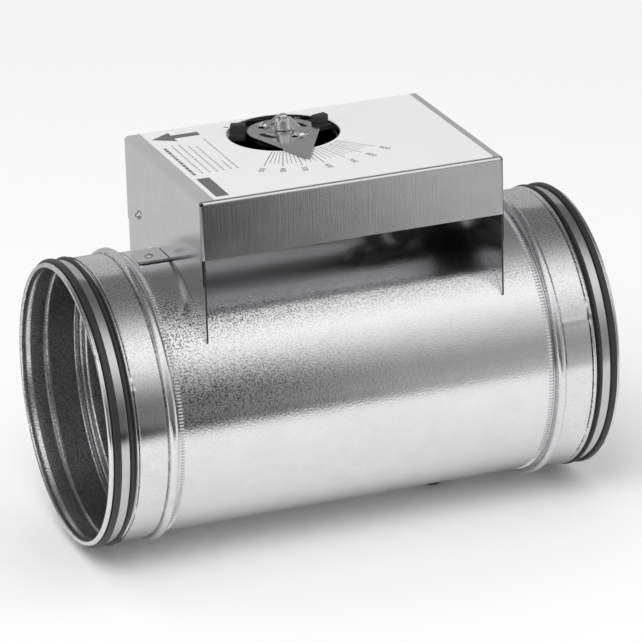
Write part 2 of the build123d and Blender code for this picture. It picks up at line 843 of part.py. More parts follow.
def make_blade_clamps():
    """Saddle clamps that hold the blade on the axle."""
    outer = axle_radius + clamp_sheet
    section = Circle(outer) & Pos(0, -outer / 2) * Rectangle(2 * outer, outer)
    section += Pos(0, axle_radius / 2) * Rectangle(2 * outer, axle_radius)
    foot_reach = outer + clamp_foot_length
    section += Pos(0, axle_radius - clamp_sheet / 2) * Rectangle(2 * foot_reach, clamp_sheet)
    section -= Circle(axle_radius)
    section -= Pos(0, axle_radius / 2) * Rectangle(2 * axle_radius, axle_radius)
    clamp = extrude(section, amount=clamp_width / 2, both=True)
    clamps = []
    for z in clamp_heights():
        piece = Pos(0, 0, z) * clamp
        for x, rivet_z in blade_rivet_places():
            if abs(rivet_z - z) < clamp_width:
                hole = Rot(90, 0, 0) * Cylinder(blade_rivet_radius, 2 * outer)
                piece -= Pos(x, axle_radius, rivet_z) * hole
        clamps.append(turn_blade(piece))
    return clamps


def make_blade_rivets():
    """Rivets through the clamps' feet and the blade."""
    foot_y = axle_radius - clamp_sheet
    back_y = axle_radius + blade_sheet
    grip = back_y - foot_y
    rivet = rod(blade_rivet_radius, -grip - blade_rivet_tail_height, 0)
    rivet += dome_head(blade_rivet_head_radius, blade_rivet_head_height)
    rivet += rod(blade_rivet_tail_radius, -grip - blade_rivet_tail_height, -grip)
    rivets = []
    for x, z in blade_rivet_places():
        rivets.append(turn_blade(Pos(x, foot_y, z) * Rot(90, 0, 0) * rivet))
    return rivets


def make_upper_bearing():
    """Flanged bush in the top of the duct, its flange shaped to the duct."""
    flange_top_z = duct_outer_radius + bearing_flange_height
    bush = rod(bearing_flange_radius, 0, flange_top_z)
    bush += rod(bearing_boss_radius, 0, duct_outer_radius + bearing_boss_height)
    saddle = Rot(0, 90, 0) * Cylinder(duct_outer_radius, 4 * bearing_flange_radius)
    stem = rod(bearing_boss_radius, duct_inner_radius - bearing_inner_depth, flange_top_z)
    bush = bush - saddle + stem
    return Pos(*axle_centre, 0) * (bush - rod(axle_radius + running_clearance, 0, axle_top_z))


def make_lower_bearing():
    """Blind bush in the bottom of the duct, with a domed end."""
    cap = rod(lower_bearing_radius, lower_cap_end_z, -duct_inner_radius + bearing_inner_depth)
    cap = fillet(cap.faces().sort_by(Axis.Z)[0].edges(), lower_bearing_dome)
    collar = rod(lower_bearing_radius + duct_wall, -duct_outer_radius - duct_wall, 0)
    collar -= Rot(0, 90, 0) * Cylinder(duct_outer_radius, 4 * lower_bearing_radius)
    cap += collar
    cap -= rod(axle_radius + running_clearance, axle_bottom_z - axle_end_gap, 0)
    return Pos(*axle_centre, 0) * cap


def make_axle_clips():
    """Clips on the axle: over the upper bearing and over the setting arm."""
    heights = (duct_outer_radius + bearing_boss_height + moving_gap, arm_top_z + moving_gap)
    return [
        retaining_clip(axle_radius, axle_clip_radius, low_z, axle_centre, crank_angle + 180)
        for low_z in heights
    ]


# Gears, damper and spring

def involute_side(base_radius, radius):
    """Polar angle in radians that an involute has turned by at a radius."""
    if radius <= base_radius:
        return 0.0
    roll = math.sqrt((radius / base_radius) ** 2 - 1)
    return roll - math.atan(roll)


def gear_tooth(teeth, root_radius, tip_radius):
    """Outline of one involute tooth along +X, with its root inside the gear's rim."""
    pitch_radius = gear_module * teeth / 2
    base_radius = pitch_radius * math.cos(math.radians(pressure_angle))
    half_tooth = math.pi / (2 * teeth) - tooth_thinning / (2 * pitch_radius)
    at_pitch = involute_side(base_radius, pitch_radius)
    flank_radii = [root_radius, (root_radius + pitch_radius) / 2, pitch_radius]
    flank_radii += [(pitch_radius + tip_radius) / 2, tip_radius]
    side = []
    for radius in flank_radii:
        half_angle = half_tooth + at_pitch - involute_side(base_radius, radius)
        side.append(polar(radius, math.degrees(half_angle)))
    inner_radius = root_radius - gear_module / 2
    inner = polar(inner_radius, math.degrees(math.atan2(side[0][1], side[0][0])))
    upper = [inner] + side
    lower = [(x, -y) for x, y in reversed(upper)]
    return make_face(Polyline(*upper, *lower, close=True))


def make_sector_gear():
    """Sector gear with a hub, an arc window for the stop and a post for the spring."""
    tip_radius = sector_pitch_radius + gear_module
    root_radius = sector_pitch_radius - 1.25 * gear_module
    rim = Circle(root_radius) - Circle(root_radius - sector_rim_width)
    sweep_points = [(0, 0)]
    steps = 4
    for step in range(steps + 1):
        angle = sector_first_angle + (sector_last_angle - sector_first_angle) * step / steps
        sweep_points.append(polar(2 * tip_radius, angle))
    wedge = make_face(Polyline(*sweep_points, close=True))
    body = (Circle(root_radius) & wedge) + Circle(sector_hub_radius)
    body += rim & wedge
    tooth = gear_tooth(sector_full_teeth, root_radius, tip_radius)
    pitch_angle = 360 / sector_full_teeth
    first_tooth = math.ceil((sector_first_angle - damper_direction) / pitch_angle + 0.5)
    last_tooth = math.floor((sector_last_angle - damper_direction) / pitch_angle - 0.5)
    for index in range(first_tooth, last_tooth + 1):
        body += Rot(0, 0, damper_direction + index * pitch_angle) * tooth
    window_width = 2 * (stop_pin_radius + moving_gap)
    end_play = math.degrees(moving_gap / stop_radius)
    body -= arc_slot(
        stop_radius, window_width, stop_direction - blade_travel - end_play, stop_direction + end_play
    )
    gear = plate(body, sector_bottom_z, sector_top_z)
    gear += rod(sector_hub_radius, sector_bottom_z - sector_hub_length, sector_bottom_z)
    gear += rod(spring_post_radius, sector_top_z, sector_top_z + spring_post_height, spring_post_place())
    gear -= rod(axle_radius, 0, axle_top_z)
    gear -= grub_cavity()
    return Pos(*axle_centre, 0) * gear


def spring_post_place():
    """Place of the spring post on the sector, against the leg that rests on it."""
    across = spring_mean_radius + spring_wire_radius + spring_post_radius
    along = -spring_leg_length * 0.75
    return polar(math.hypot(across, along), spring_turn + math.degrees(math.atan2(along, across)))


def grub_cavity():
    """Radial hole of the grub screw in the sector's hub."""
    hole_z = sector_bottom_z - sector_hub_length / 2
    hole = Rot(90, 0, 0) * Cylinder(grub_radius, grub_length)
    return Pos(0, -axle_radius - grub_length / 2, hole_z) * hole


def make_sector_grub_screw():
    """Grub screw that locks the sector on the axle."""
    screw = grub_cavity()
    socket_y = -axle_radius - grub_length
    socket = Pos(0, socket_y, sector_bottom_z - sector_hub_length / 2) * Rot(90, 0, 0) * Cylinder(
        grub_radius / 2, grub_length / 2
    )
    return Pos(*axle_centre, 0) * (screw - socket)


def make_damper_pinion():
    """Pinion in mesh with the sector, on the damper's shaft."""
    tip_radius = pinion_pitch_radius + gear_module
    root_radius = pinion_pitch_radius - 1.25 * gear_module
    body = Circle(root_radius)
    tooth = gear_tooth(pinion_teeth, root_radius, tip_radius)
    pitch_angle = 360 / pinion_teeth
    facing = damper_direction + 180
    for index in range(pinion_teeth):
        body += Rot(0, 0, facing + (index + 0.5) * pitch_angle) * tooth
    middle_z = (sector_top_z + sector_bottom_z) / 2
    low_z = middle_z - pinion_thickness / 2
    pinion = plate(body, low_z, low_z + pinion_thickness)
    shaft_top_z = damper_bottom_z + damper_recess_depth - moving_gap
    pinion += rod(pinion_shaft_radius, low_z, shaft_top_z)
    return Pos(*damper_centre, 0) * pinion


def damper_ear_centres():
    """Places of the damper's two screws."""
    across = damper_direction + 90
    return [polar(side * damper_ear_offset, across, damper_centre) for side in (-1, 1)]


def make_damper_housing():
    """Round damper body with two screw ears, under the carrier plate."""
    body = rod(damper_body_radius, damper_bottom_z, carrier_bottom_z, damper_centre)
    body = chamfer(body.faces().sort_by(Axis.Z)[0].edges(), damper_edge_chamfer)
    first, second = damper_ear_centres()
    ears = plate(
        stadium(first, second, damper_ear_radius, damper_ear_radius),
        carrier_bottom_z - damper_ear_thickness,
        carrier_bottom_z,
    )
    housing = body + ears
    for centre in (first, second):
        housing -= rod(damper_screw_radius, 0, cover_top_z, centre)
    return housing - rod(damper_recess_radius, 0, damper_bottom_z + damper_recess_depth, damper_centre)


def make_damper_screws():
    """Screws of the damper's ears, heads down."""
    head_z = carrier_bottom_z - damper_ear_thickness
    screw = rod(damper_screw_radius, head_z, carrier_top_z)
    screw += Pos(0, 0, head_z) * Rot(180, 0, 0) * dome_head(damper_screw_head_radius, damper_screw_head_height)
    return [Pos(*centre, 0) * screw for centre in damper_ear_centres()]


def make_stop_post():
    """Post from the carrier plate through the sector's window, which ends the blade's travel."""
    post = rod(stop_pin_radius, sector_bottom_z - stop_overrun, carrier_top_z)
    post += rod(stop_head_radius, carrier_bottom_z - stop_head_height, carrier_bottom_z)
    return Pos(*stop_centre, 0) * post


def make_torsion_spring():
    """Torsion spring round the arm's sleeve, its lower leg against the sector's post."""
    low_z = sector_top_z + spring_end_gap + spring_wire_radius
    coil_height = spring_turns * spring_pitch
    coil_path = Helix(pitch=spring_pitch, height=coil_height, radius=spring_mean_radius)
    section = Plane(origin=coil_path @ 0, z_dir=coil_path % 0) * RegularPolygon(spring_wire_radius, 6)
    coil = sweep(section, path=coil_path)
    leg_direction = coil_path % 0
    leg_section = Plane(origin=coil_path @ 0, z_dir=-leg_direction) * RegularPolygon(spring_wire_radius, 6)
    leg = extrude(leg_section, amount=spring_leg_length)
    return Pos(axle_x, 0, low_z) * Rot(0, 0, spring_turn) * (coil + leg)


def write(name, pieces):
    """Write one node's solids to its own file."""
    solids = pieces if isinstance(pieces, list) else [pieces]
    shape = solids[0] if len(solids) == 1 else Compound(children=[solid_of(piece) for piece in solids])
    export_step(shape, os.path.join("parts", name + ".step"))


def solid_of(piece):
    """The single solid that a piece holds."""
    return piece.solids()[0]


os.makedirs("parts", exist_ok=True)
upstream_collar = make_collar()
upstream_gasket = make_gasket()
upstream_clamp_band = make_clamp_band()
nodes = {
    "duct_tube": make_duct_tube(),
    "upstream_collar": upstream_collar,
    "downstream_collar": mirror(upstream_collar, Plane.YZ),
    "upstream_gasket": upstream_gasket,
    "downstream_gasket": mirror(upstream_gasket, Plane.YZ),
    "upstream_clamp_band": upstream_clamp_band,
    "downstream_clamp_band": mirror(upstream_clamp_band, Plane.YZ),
    "carrier_plate": make_carrier_plate(),
    "end_brackets": make_end_brackets(),
    "foot_rivets": make_foot_rivets(),
    "cover": make_cover(),
    "cover_screws": make_cover_screws(),
    "scale_label": make_label(),
    "dial_disc": make_dial_disc(),
    "pointer_plate": make_pointer_plate(),
    "pointer_screws": make_pointer_screws(),
    "pointer_washers": make_pointer_washers(),
    "nut_washer": make_nut_washer(),
    "dial_stud": make_dial_stud(),
    "wing_nut": make_wing_nut(),
    "dial_pin": make_dial_pin(),
    "dial_pin_clip": make_dial_pin_clip(),
    "link_rod": make_link_rod(),
    "setting_arm": make_setting_arm(),
    "arm_pin": make_arm_pin(),
    "arm_pin_clip": make_arm_pin_clip(),
    "blade_axle": make_blade_axle(),
    "damper_blade": make_damper_blade(),
    "blade_clamps": make_blade_clamps(),
    "blade_rivets": make_blade_rivets(),
    "upper_bearing": make_upper_bearing(),
    "lower_bearing": make_lower_bearing(),
    "axle_clips": make_axle_clips(),
    "sector_gear": make_sector_gear(),
    "sector_grub_screw": make_sector_grub_screw(),
    "damper_pinion": make_damper_pinion(),
    "damper_housing": make_damper_housing(),
    "damper_screws": make_damper_screws(),
    "stop_post": make_stop_post(),
    "torsion_spring": make_torsion_spring(),
}
for name, pieces in nodes.items():
    write(name, pieces)
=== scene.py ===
import math
import random

import bmesh
import bpy
from mathutils import Matrix, Vector


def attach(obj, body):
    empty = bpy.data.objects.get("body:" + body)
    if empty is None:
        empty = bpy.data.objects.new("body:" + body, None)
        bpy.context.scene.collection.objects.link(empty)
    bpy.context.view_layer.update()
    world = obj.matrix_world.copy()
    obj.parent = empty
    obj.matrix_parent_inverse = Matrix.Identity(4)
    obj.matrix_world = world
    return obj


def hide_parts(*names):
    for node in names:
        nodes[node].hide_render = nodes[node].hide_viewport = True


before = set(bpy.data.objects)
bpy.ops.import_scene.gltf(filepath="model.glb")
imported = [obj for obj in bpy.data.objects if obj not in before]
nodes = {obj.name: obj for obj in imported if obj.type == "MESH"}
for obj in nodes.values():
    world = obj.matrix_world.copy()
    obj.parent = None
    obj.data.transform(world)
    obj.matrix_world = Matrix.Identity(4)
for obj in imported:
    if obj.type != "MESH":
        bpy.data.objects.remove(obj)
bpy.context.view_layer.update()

# Sizes in metres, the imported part's own where it has them
MM = 0.001
duct_radius = 78.3 * MM
duct_inner_radius = 77.6 * MM
duct_half_length = 110.8 * MM
half_length = 151.0 * MM
sheet = 0.7 * MM
spigot_radius = 79.6 * MM
bead_x = 114.4 * MM
bead_radius = 82.3 * MM
crease_x = 133.95 * MM
seat_start = 137.1 * MM
seat_end = 148.4 * MM
seat_radius = 78.0 * MM
hem_radius = 79.1 * MM
mouth_radius = 75.7 * MM
seal_radius = 79.0 * MM
lip_radius = 81.0 * MM
cover_end_x = 88.5 * MM
cover_side_y = 62.75 * MM
cover_top = 128.5 * MM
flange_bottom = 95.2 * MM
axle_x = 67.4 * MM
label_top = 128.7 * MM
dial_x = -6.0 * MM
dial_y = 28.4 * MM
floor_z = -85.6 * MM

duct_ends = ((-1, "downstream"), (1, "upstream"))

random.seed(7)


# Mesh helpers

def new_object(name, mesh):
    """Object at the origin that shows a mesh."""
    piece = bpy.data.objects.new(name, mesh)
    bpy.context.scene.collection.objects.link(piece)
    return piece


def shade(mesh, sharp_degrees=35):
    """Smooth shading with sharp edges above an angle."""
    mesh.shade_smooth()
    mesh.set_sharp_from_angle(angle=math.radians(sharp_degrees))


def finish_bmesh(shape, name, sharp_degrees=35):
    """Turn a bmesh into a shaded object with outward normals."""
    bmesh.ops.recalc_face_normals(shape, faces=shape.faces)
    mesh = bpy.data.meshes.new(name)
    shape.to_mesh(mesh)
    shape.free()
    shade(mesh, sharp_degrees)
    return new_object(name, mesh)


def applied(piece):
    """Give a piece its evaluated mesh and take its modifiers off."""
    graph = bpy.context.evaluated_depsgraph_get()
    mesh = bpy.data.meshes.new_from_object(piece.evaluated_get(graph))
    piece.modifiers.clear()
    piece.data = mesh
    return piece


def rounded_path(points, radius):
    """Open path with its inner corners rounded off."""
    steps = 4
    longest_share = 0.45
    path = [points[0]]
    for before, corner, after in zip(points, points[1:], points[2:]):
        into = Vector(corner) - Vector(before)
        out = Vector(after) - Vector(corner)
        reach = min(radius, longest_share * into.length, longest_share * out.length)
        start = Vector(corner) - into.normalized() * reach
        end = Vector(corner) + out.normalized() * reach
        for step in range(steps + 1):
            done = step / steps
            left = 1 - done
            point = start * left**2 + Vector(corner) * (2 * done * left) + end * done**2
            path.append((point.x, point.y))
    path.append(points[-1])
    return path


def sheet_section(path, thickness):
    """Closed section of a sheet that lies to the right of a path."""
    inner = []
    for index, point in enumerate(path):
        before = Vector(path[max(index - 1, 0)])
        after = Vector(path[min(index + 1, len(path) - 1)])
        along = (after - before).normalized()
        right = Vector((along.y, -along.x))
        inner.append(tuple(Vector(point) + right * thickness))
    return path + inner[::-1]


def lathe(name, section, segments, dent=None, sharp_degrees=35):
    """Ring with a closed section of (x, radius) points, turned about the duct's axis.

    Angle 0 faces the front, 90 degrees faces up. A dent moves a point of the section
    by where it is round the ring.
    """
    shape = bmesh.new()
    rings = []
    for step in range(segments):
        turn = 2 * math.pi * step / segments
        ring = []
        for x, radius in section:
            if dent:
                x, radius = dent(x, radius, math.degrees(turn))
            ring.append(shape.verts.new((x, -radius * math.cos(turn), radius * math.sin(turn))))
        rings.append(ring)
    count = len(section)
    for step in range(segments):
        here, beyond = rings[step], rings[(step + 1) % segments]
        for index in range(count):
            following = (index + 1) % count
            shape.faces.new((here[index], here[following], beyond[following], beyond[index]))
    return finish_bmesh(shape, name, sharp_degrees)


def apart(turn, angle):
    """Difference of two angles in degrees, from 0 to 180."""
    return abs((turn - angle + 180) % 360 - 180)


def bell(distance, width):
    """Smooth bump, 1 at the middle and near 0 past twice the width."""
    return math.exp(-((distance / width) ** 2))


def softened(node, name, width):
    """Copy of a CAD node with its hard edges broken by a small round."""
    weld_distance = 0.002 * MM
    flat_angle = math.radians(0.5)
    hard_angle = math.radians(32)
    shape = bmesh.new()
    shape.from_mesh(nodes[node].data)
    bmesh.ops.remove_doubles(shape, verts=shape.verts, dist=weld_distance)
    bmesh.ops.dissolve_limit(shape, angle_limit=flat_angle, verts=shape.verts, edges=shape.edges)
    mesh = bpy.data.meshes.new(name)
    shape.to_mesh(mesh)
    shape.free()
    piece = new_object(name, mesh)
    bevel = piece.modifiers.new("edge round", "BEVEL")
    bevel.width = width
    bevel.segments = 2
    bevel.limit_method = "ANGLE"
    bevel.angle_limit = hard_angle
    even = piece.modifiers.new("even shading", "WEIGHTED_NORMAL")
    even.keep_sharp = True
    even.weight = 100
    shade(piece.data, sharp_degrees=80)
    return applied(piece)


# Shader groups

def group_tree(name, inputs, outputs):
    """Empty shader group with named sockets."""
    tree = bpy.data.node_groups.new(name, "ShaderNodeTree")
    for label, kind, value in inputs:
        socket = tree.interface.new_socket(label, in_out="INPUT", socket_type=kind)
        if value is not None:
            socket.default_value = value
    for label, kind in outputs:
        tree.interface.new_socket(label, in_out="OUTPUT", socket_type=kind)
    entry = tree.nodes.new("NodeGroupInput")
    leaving = tree.nodes.new("NodeGroupOutput")
    return tree, entry.outputs, leaving.inputs


def maths(tree, operation, first, second=None, third=None, clamp=False):
    """Math node whose inputs are numbers or sockets."""
    node = tree.nodes.new("ShaderNodeMath")
    node.operation = operation
    node.use_clamp = clamp
    for socket, value in zip(node.inputs, (first, second, third)):
        if value is None:
            continue
        if isinstance(value, (int, float)):
            socket.default_value = value
        else:
            tree.links.new(value, socket)
    return node.outputs[0]


def noise(tree, vector, scale, detail, roughness):
    """Noise value at a scale that is a number or a socket."""
    node = tree.nodes.new("ShaderNodeTexNoise")
    node.inputs["Detail"].default_value = detail
    node.inputs["Roughness"].default_value = roughness
    tree.links.new(vector, node.inputs["Vector"])
    if isinstance(scale, (int, float)):
        node.inputs["Scale"].default_value = scale
    else:
        tree.links.new(scale, node.inputs["Scale"])
    return node.outputs["Fac"]


def stretched(tree, vector, scale):
    """Coordinates scaled by axis."""
    node = tree.nodes.new("ShaderNodeMapping")
    node.inputs["Scale"].default_value = scale
    tree.links.new(vector, node.inputs["Vector"])
    return node.outputs["Vector"]


grain_outputs = [
    ("Height", "NodeSocketFloat"), ("Tone", "NodeSocketFloat"), ("Roughness", "NodeSocketFloat"),
]


def build_zinc_grain():
    """Zinc coat: fine dimples, faint flakes, rolling streaks, and dark dots by the Spangle input.

    Values of that input from 1 to 2 add painted shade, which darkens the coat evenly, in the collars'
    crease and at the bead's foot.
    """
    streaks_per_metre = 1500.0
    patches_per_metre = 35.0
    dots_per_metre = 1150.0
    patch_share, patch_base, flake_share = 0.10, 0.92, 0.035
    dot_contrast, dot_cut = 7.0, -3.35
    dot_depth, painted_shade_depth = -0.82, -0.85
    tree, given, result = group_tree(
        "zinc_grain",
        [
            ("Position", "NodeSocketVector", None),
            ("Grain per metre", "NodeSocketFloat", 900.0),
            ("Flake per metre", "NodeSocketFloat", 120.0),
            ("Streak share", "NodeSocketFloat", 0.0),
            ("Base roughness", "NodeSocketFloat", 0.16),
            ("Spangle and shade", "NodeSocketFloat", 0.0),
        ],
        grain_outputs,
    )
    position = given["Position"]
    fine = noise(tree, position, given["Grain per metre"], 1.5, 0.6)
    dimple = maths(tree, "POWER", fine, 1.6)
    flakes = tree.nodes.new("ShaderNodeTexVoronoi")
    tree.links.new(position, flakes.inputs["Vector"])
    tree.links.new(given["Flake per metre"], flakes.inputs["Scale"])
    flake_tone = tree.nodes.new("ShaderNodeSeparateColor")
    tree.links.new(flakes.outputs["Color"], flake_tone.inputs["Color"])
    streak = noise(tree, stretched(tree, position, (1.0, 1.0, 0.02)), streaks_per_metre, 3.0, 0.6)
    streak_height = maths(tree, "MULTIPLY", streak, given["Streak share"])
    height = maths(tree, "ADD", dimple, streak_height)
    tree.links.new(height, result["Height"])
    patch = noise(tree, position, patches_per_metre, 3.0, 0.6)
    tone = maths(tree, "MULTIPLY_ADD", patch, patch_share, patch_base)
    tone = maths(tree, "MULTIPLY_ADD", flake_tone.outputs[0], flake_share, tone)
    dots = noise(tree, position, dots_per_metre, 1.0, 0.5)
    dots = maths(tree, "MULTIPLY_ADD", dots, dot_contrast, dot_cut, clamp=True)
    dots = maths(tree, "MULTIPLY", dots, maths(tree, "MINIMUM", given["Spangle and shade"], 1.0))
    tone = maths(tree, "MULTIPLY", tone, maths(tree, "MULTIPLY_ADD", dots, dot_depth, 1.0))
    # Values above 1 are painted shade in the collars' crease and at the bead's foot
    painted_shade = maths(tree, "SUBTRACT", given["Spangle and shade"], 1.0, clamp=True)
    tone = maths(tree, "MULTIPLY", tone, maths(tree, "MULTIPLY_ADD", painted_shade, painted_shade_depth, 1.0))
    tree.links.new(tone, result["Tone"])
    rough = maths(tree, "MULTIPLY_ADD", patch, 0.08, given["Base roughness"])
    tree.links.new(rough, result["Roughness"])
    return tree


def build_wear_marks():
    """Fine scratches and smudges on plain metal."""
    scratches_per_metre = 2600.0
    smudges_per_metre = 160.0
    smudge_share = 0.16
    tree, given, result = group_tree(
        "wear_marks",
        [("Position", "NodeSocketVector", None), ("Base roughness", "NodeSocketFloat", 0.25)],
        grain_outputs,
    )
    position = given["Position"]
    lines = noise(tree, stretched(tree, position, (1.0, 0.06, 1.0)), scratches_per_metre, 2.0, 0.6)
    smudge = noise(tree, position, smudges_per_metre, 3.0, 0.6)
    tree.links.new(lines, result["Height"])
    tree.links.new(maths(tree, "MULTIPLY_ADD", smudge, smudge_share, 0.9), result["Tone"])
    rough = maths(tree, "MULTIPLY_ADD", smudge, smudge_share, given["Base roughness"])
    tree.links.new(rough, result["Roughness"])
    return tree


def build_moulded_grain():
    """Fine matt grain of moulded plastic and rubber."""
    clouds_per_metre = 60.0
    tree, given, result = group_tree(
        "moulded_grain",
        [
            ("Position", "NodeSocketVector", None),
            ("Grain per metre", "NodeSocketFloat", 3000.0),
            ("Base roughness", "NodeSocketFloat", 0.5),
        ],
        grain_outputs,
    )
    position = given["Position"]
    grain = noise(tree, position, given["Grain per metre"], 2.0, 0.5)
    cloud = noise(tree, position, clouds_per_metre, 3.0, 0.6)
    tree.links.new(grain, result["Height"])
    tree.links.new(maths(tree, "MULTIPLY_ADD", cloud, 0.5, 0.75), result["Tone"])
    rough = maths(tree, "MULTIPLY_ADD", cloud, 0.18, given["Base roughness"])
    tree.links.new(rough, result["Roughness"])
    return tree


zinc_grain = build_zinc_grain()
wear_marks = build_wear_marks()
moulded_grain = build_moulded_grain()


def finish_material(name, colour, metallic, group, values, bump_distance, clear=0.5):
    """Material whose colour, roughness and relief follow one of the groups above."""
    material = bpy.data.materials.new(name)
    material.use_nodes = True
    tree = material.node_tree
    shader = tree.nodes["Principled BSDF"]
    shader.inputs["Metallic"].default_value = metallic
    shader.inputs["Specular IOR Level"].default_value = clear
    place = tree.nodes.new("ShaderNodeTexCoord")
    detail = tree.nodes.new("ShaderNodeGroup")
    detail.node_tree = group
    tree.links.new(place.outputs["Object"], detail.inputs["Position"])
    for label, value in values.items():
        detail.inputs[label].default_value = value
    if group.name == "zinc_grain":
        # The attribute holds the zinc's dark dots and, above 1, painted shade
        spangle_and_shade = tree.nodes.new("ShaderNodeAttribute")
        spangle_and_shade.attribute_name = "spangle_and_shade"
        tree.links.new(spangle_and_shade.outputs["Fac"], detail.inputs["Spangle and shade"])
    tint = tree.nodes.new("ShaderNodeMix")
    tint.data_type = "RGBA"
    tint.blend_type = "MULTIPLY"
    tint.inputs["Factor"].default_value = 1.0
    tint.inputs["A"].default_value = (*colour, 1.0)
    tree.links.new(detail.outputs["Tone"], tint.inputs["B"])
    tree.links.new(tint.outputs["Result"], shader.inputs["Base Color"])
    tree.links.new(detail.outputs["Roughness"], shader.inputs["Roughness"])
    bump = tree.nodes.new("ShaderNodeBump")
    bump.inputs["Distance"].default_value = bump_distance
    tree.links.new(detail.outputs["Height"], bump.inputs["Height"])
    tree.links.new(bump.outputs["Normal"], shader.inputs["Normal"])
    material.diffuse_color = (*colour, 1.0)
    return material


duct_zinc = finish_material(
    "duct zinc", (0.80, 0.80, 0.81), 1.0, zinc_grain,
    {"Grain per metre": 950.0, "Base roughness": 0.13}, 0.07 * MM,
)
collar_zinc = finish_material(
    "collar zinc", (0.78, 0.78, 0.79), 1.0, zinc_grain,
    {"Grain per metre": 1300.0, "Base roughness": 0.12}, 0.03 * MM,
)
# Darker copy of the duct's zinc for inner faces: painted shade inside the duct and collars
shaded_inner_zinc = finish_material(
    "shaded inner zinc", (0.74, 0.74, 0.75), 1.0, zinc_grain,
    {"Grain per metre": 950.0, "Base roughness": 0.22}, 0.08 * MM,
)
cover_zinc = finish_material(
    "cover zinc", (0.76, 0.76, 0.77), 1.0, zinc_grain,
    {"Grain per metre": 1100.0, "Streak share": 1.2, "Base roughness": 0.12}, 0.03 * MM,
)
# Near-black copy of the zinc that lines the bracket inside the housing: painted shade
shaded_casing_zinc = finish_material(
    "shaded casing zinc", (0.08, 0.08, 0.08), 1.0, zinc_grain, {"Base roughness": 0.36}, 0.03 * MM
)
# Near-black copy of the zinc for the cut front edges of the end plates' legs: painted shade
shaded_cut_edge = finish_material(
    "shaded cut edge", (0.07, 0.07, 0.07), 1.0, zinc_grain, {"Base roughness": 0.38}, 0.03 * MM
)
# Darker copy of the zinc for the rounded upright corners: painted shade that tones down their highlight
shaded_seam_zinc = finish_material(
    "shaded seam zinc", (0.30, 0.30, 0.30), 1.0, zinc_grain, {"Base roughness": 0.26}, 0.03 * MM
)
band_steel = finish_material(
    "band steel", (0.56, 0.56, 0.56), 1.0, wear_marks, {"Base roughness": 0.08}, 0.004 * MM
)
plated_steel = finish_material(
    "plated steel", (0.78, 0.78, 0.78), 1.0, wear_marks, {"Base roughness": 0.10}, 0.004 * MM
)
# Darker copy of the plated steel for the pointer: painted shade that keeps the mirror-like plate
# mid-grey
shaded_pointer_steel = finish_material(
    "shaded pointer steel", (0.38, 0.38, 0.38), 1.0, wear_marks, {"Base roughness": 0.03}, 0.002 * MM
)
spring_steel = finish_material(
    "spring steel", (0.16, 0.16, 0.165), 1.0, wear_marks, {"Base roughness": 0.3}, 0.006 * MM
)
rivet_aluminium = finish_material(
    "rivet aluminium", (0.78, 0.78, 0.79), 1.0, wear_marks, {"Base roughness": 0.24}, 0.006 * MM
)
seal_rubber = finish_material(
    "seal rubber", (0.020, 0.020, 0.021), 0.0, moulded_grain,
    {"Grain per metre": 1800.0, "Base roughness": 0.34}, 0.03 * MM,
)
dial_plastic = finish_material(
    "dial plastic", (0.026, 0.026, 0.027), 0.0, moulded_grain,
    {"Grain per metre": 2600.0, "Base roughness": 0.42}, 0.02 * MM,
)
damper_plastic = finish_material(
    "damper plastic", (0.02, 0.02, 0.022), 0.0, moulded_grain,
    {"Grain per metre": 2600.0, "Base roughness": 0.45}, 0.02 * MM,
)
bearing_plastic = finish_material(
    "bearing plastic", (0.05, 0.05, 0.052), 0.0, moulded_grain,
    {"Grain per metre": 2600.0, "Base roughness": 0.4}, 0.01 * MM,
)
gear_plastic = finish_material(
    "gear plastic", (0.045, 0.045, 0.047), 0.0, moulded_grain,
    {"Grain per metre": 2600.0, "Base roughness": 0.42}, 0.01 * MM,
)
label_film = finish_material(
    "label film", (0.78, 0.78, 0.78), 0.0, moulded_grain,
    {"Grain per metre": 900.0, "Base roughness": 0.38}, 0.004 * MM, clear=0.35,
)
label_ink = finish_material(
    "label ink", (0.07, 0.07, 0.075), 0.0, moulded_grain,
    {"Grain per metre": 4000.0, "Base roughness": 0.5}, 0.004 * MM, clear=0.3,
)
middle_ink = finish_material(
    "middle ink", (0.14, 0.14, 0.145), 0.0, moulded_grain,
    {"Grain per metre": 4000.0, "Base roughness": 0.5}, 0.004 * MM, clear=0.3,
)
pale_ink = finish_material(
    "pale ink", (0.36, 0.36, 0.37), 0.0, moulded_grain,
    {"Grain per metre": 4000.0, "Base roughness": 0.5}, 0.004 * MM, clear=0.3,
)


def even_out_label_tone(share):
    """Keep the cloudy tone of the film and its inks faint, because they are printed stock."""
    for material in (label_film, label_ink, middle_ink, pale_ink):
        for node in material.node_tree.nodes:
            if node.type == "MIX":
                node.inputs["Factor"].default_value = share


even_out_label_tone(0.06)


def dress(piece, material):
    """Give a piece one material."""
    piece.data.materials.clear()
    piece.data.materials.append(material)


def place(piece, material, body, slot, *stands_for):
    """Finish a piece: its material, the body it rides on and the nodes it stands for."""
    dress(piece, material)
    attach(piece, body)
    if stands_for:
        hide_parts(*stands_for)


# Duct tube

def tube_section():
    """Tube wall whose ends are worked a little inwards, beside the toothed row."""
    end = duct_half_length
    end_radius = duct_radius - 0.25 * MM
    worked = 1.0 * MM
    outer = [
        (-end, end_radius), (-end + worked, duct_radius), (end - worked, duct_radius), (end, end_radius),
    ]
    outer = rounded_path(outer, 0.6 * MM)
    return outer + [(end, duct_inner_radius), (-end, duct_inner_radius)]


# Toothed row beside each bead, made by geometry nodes

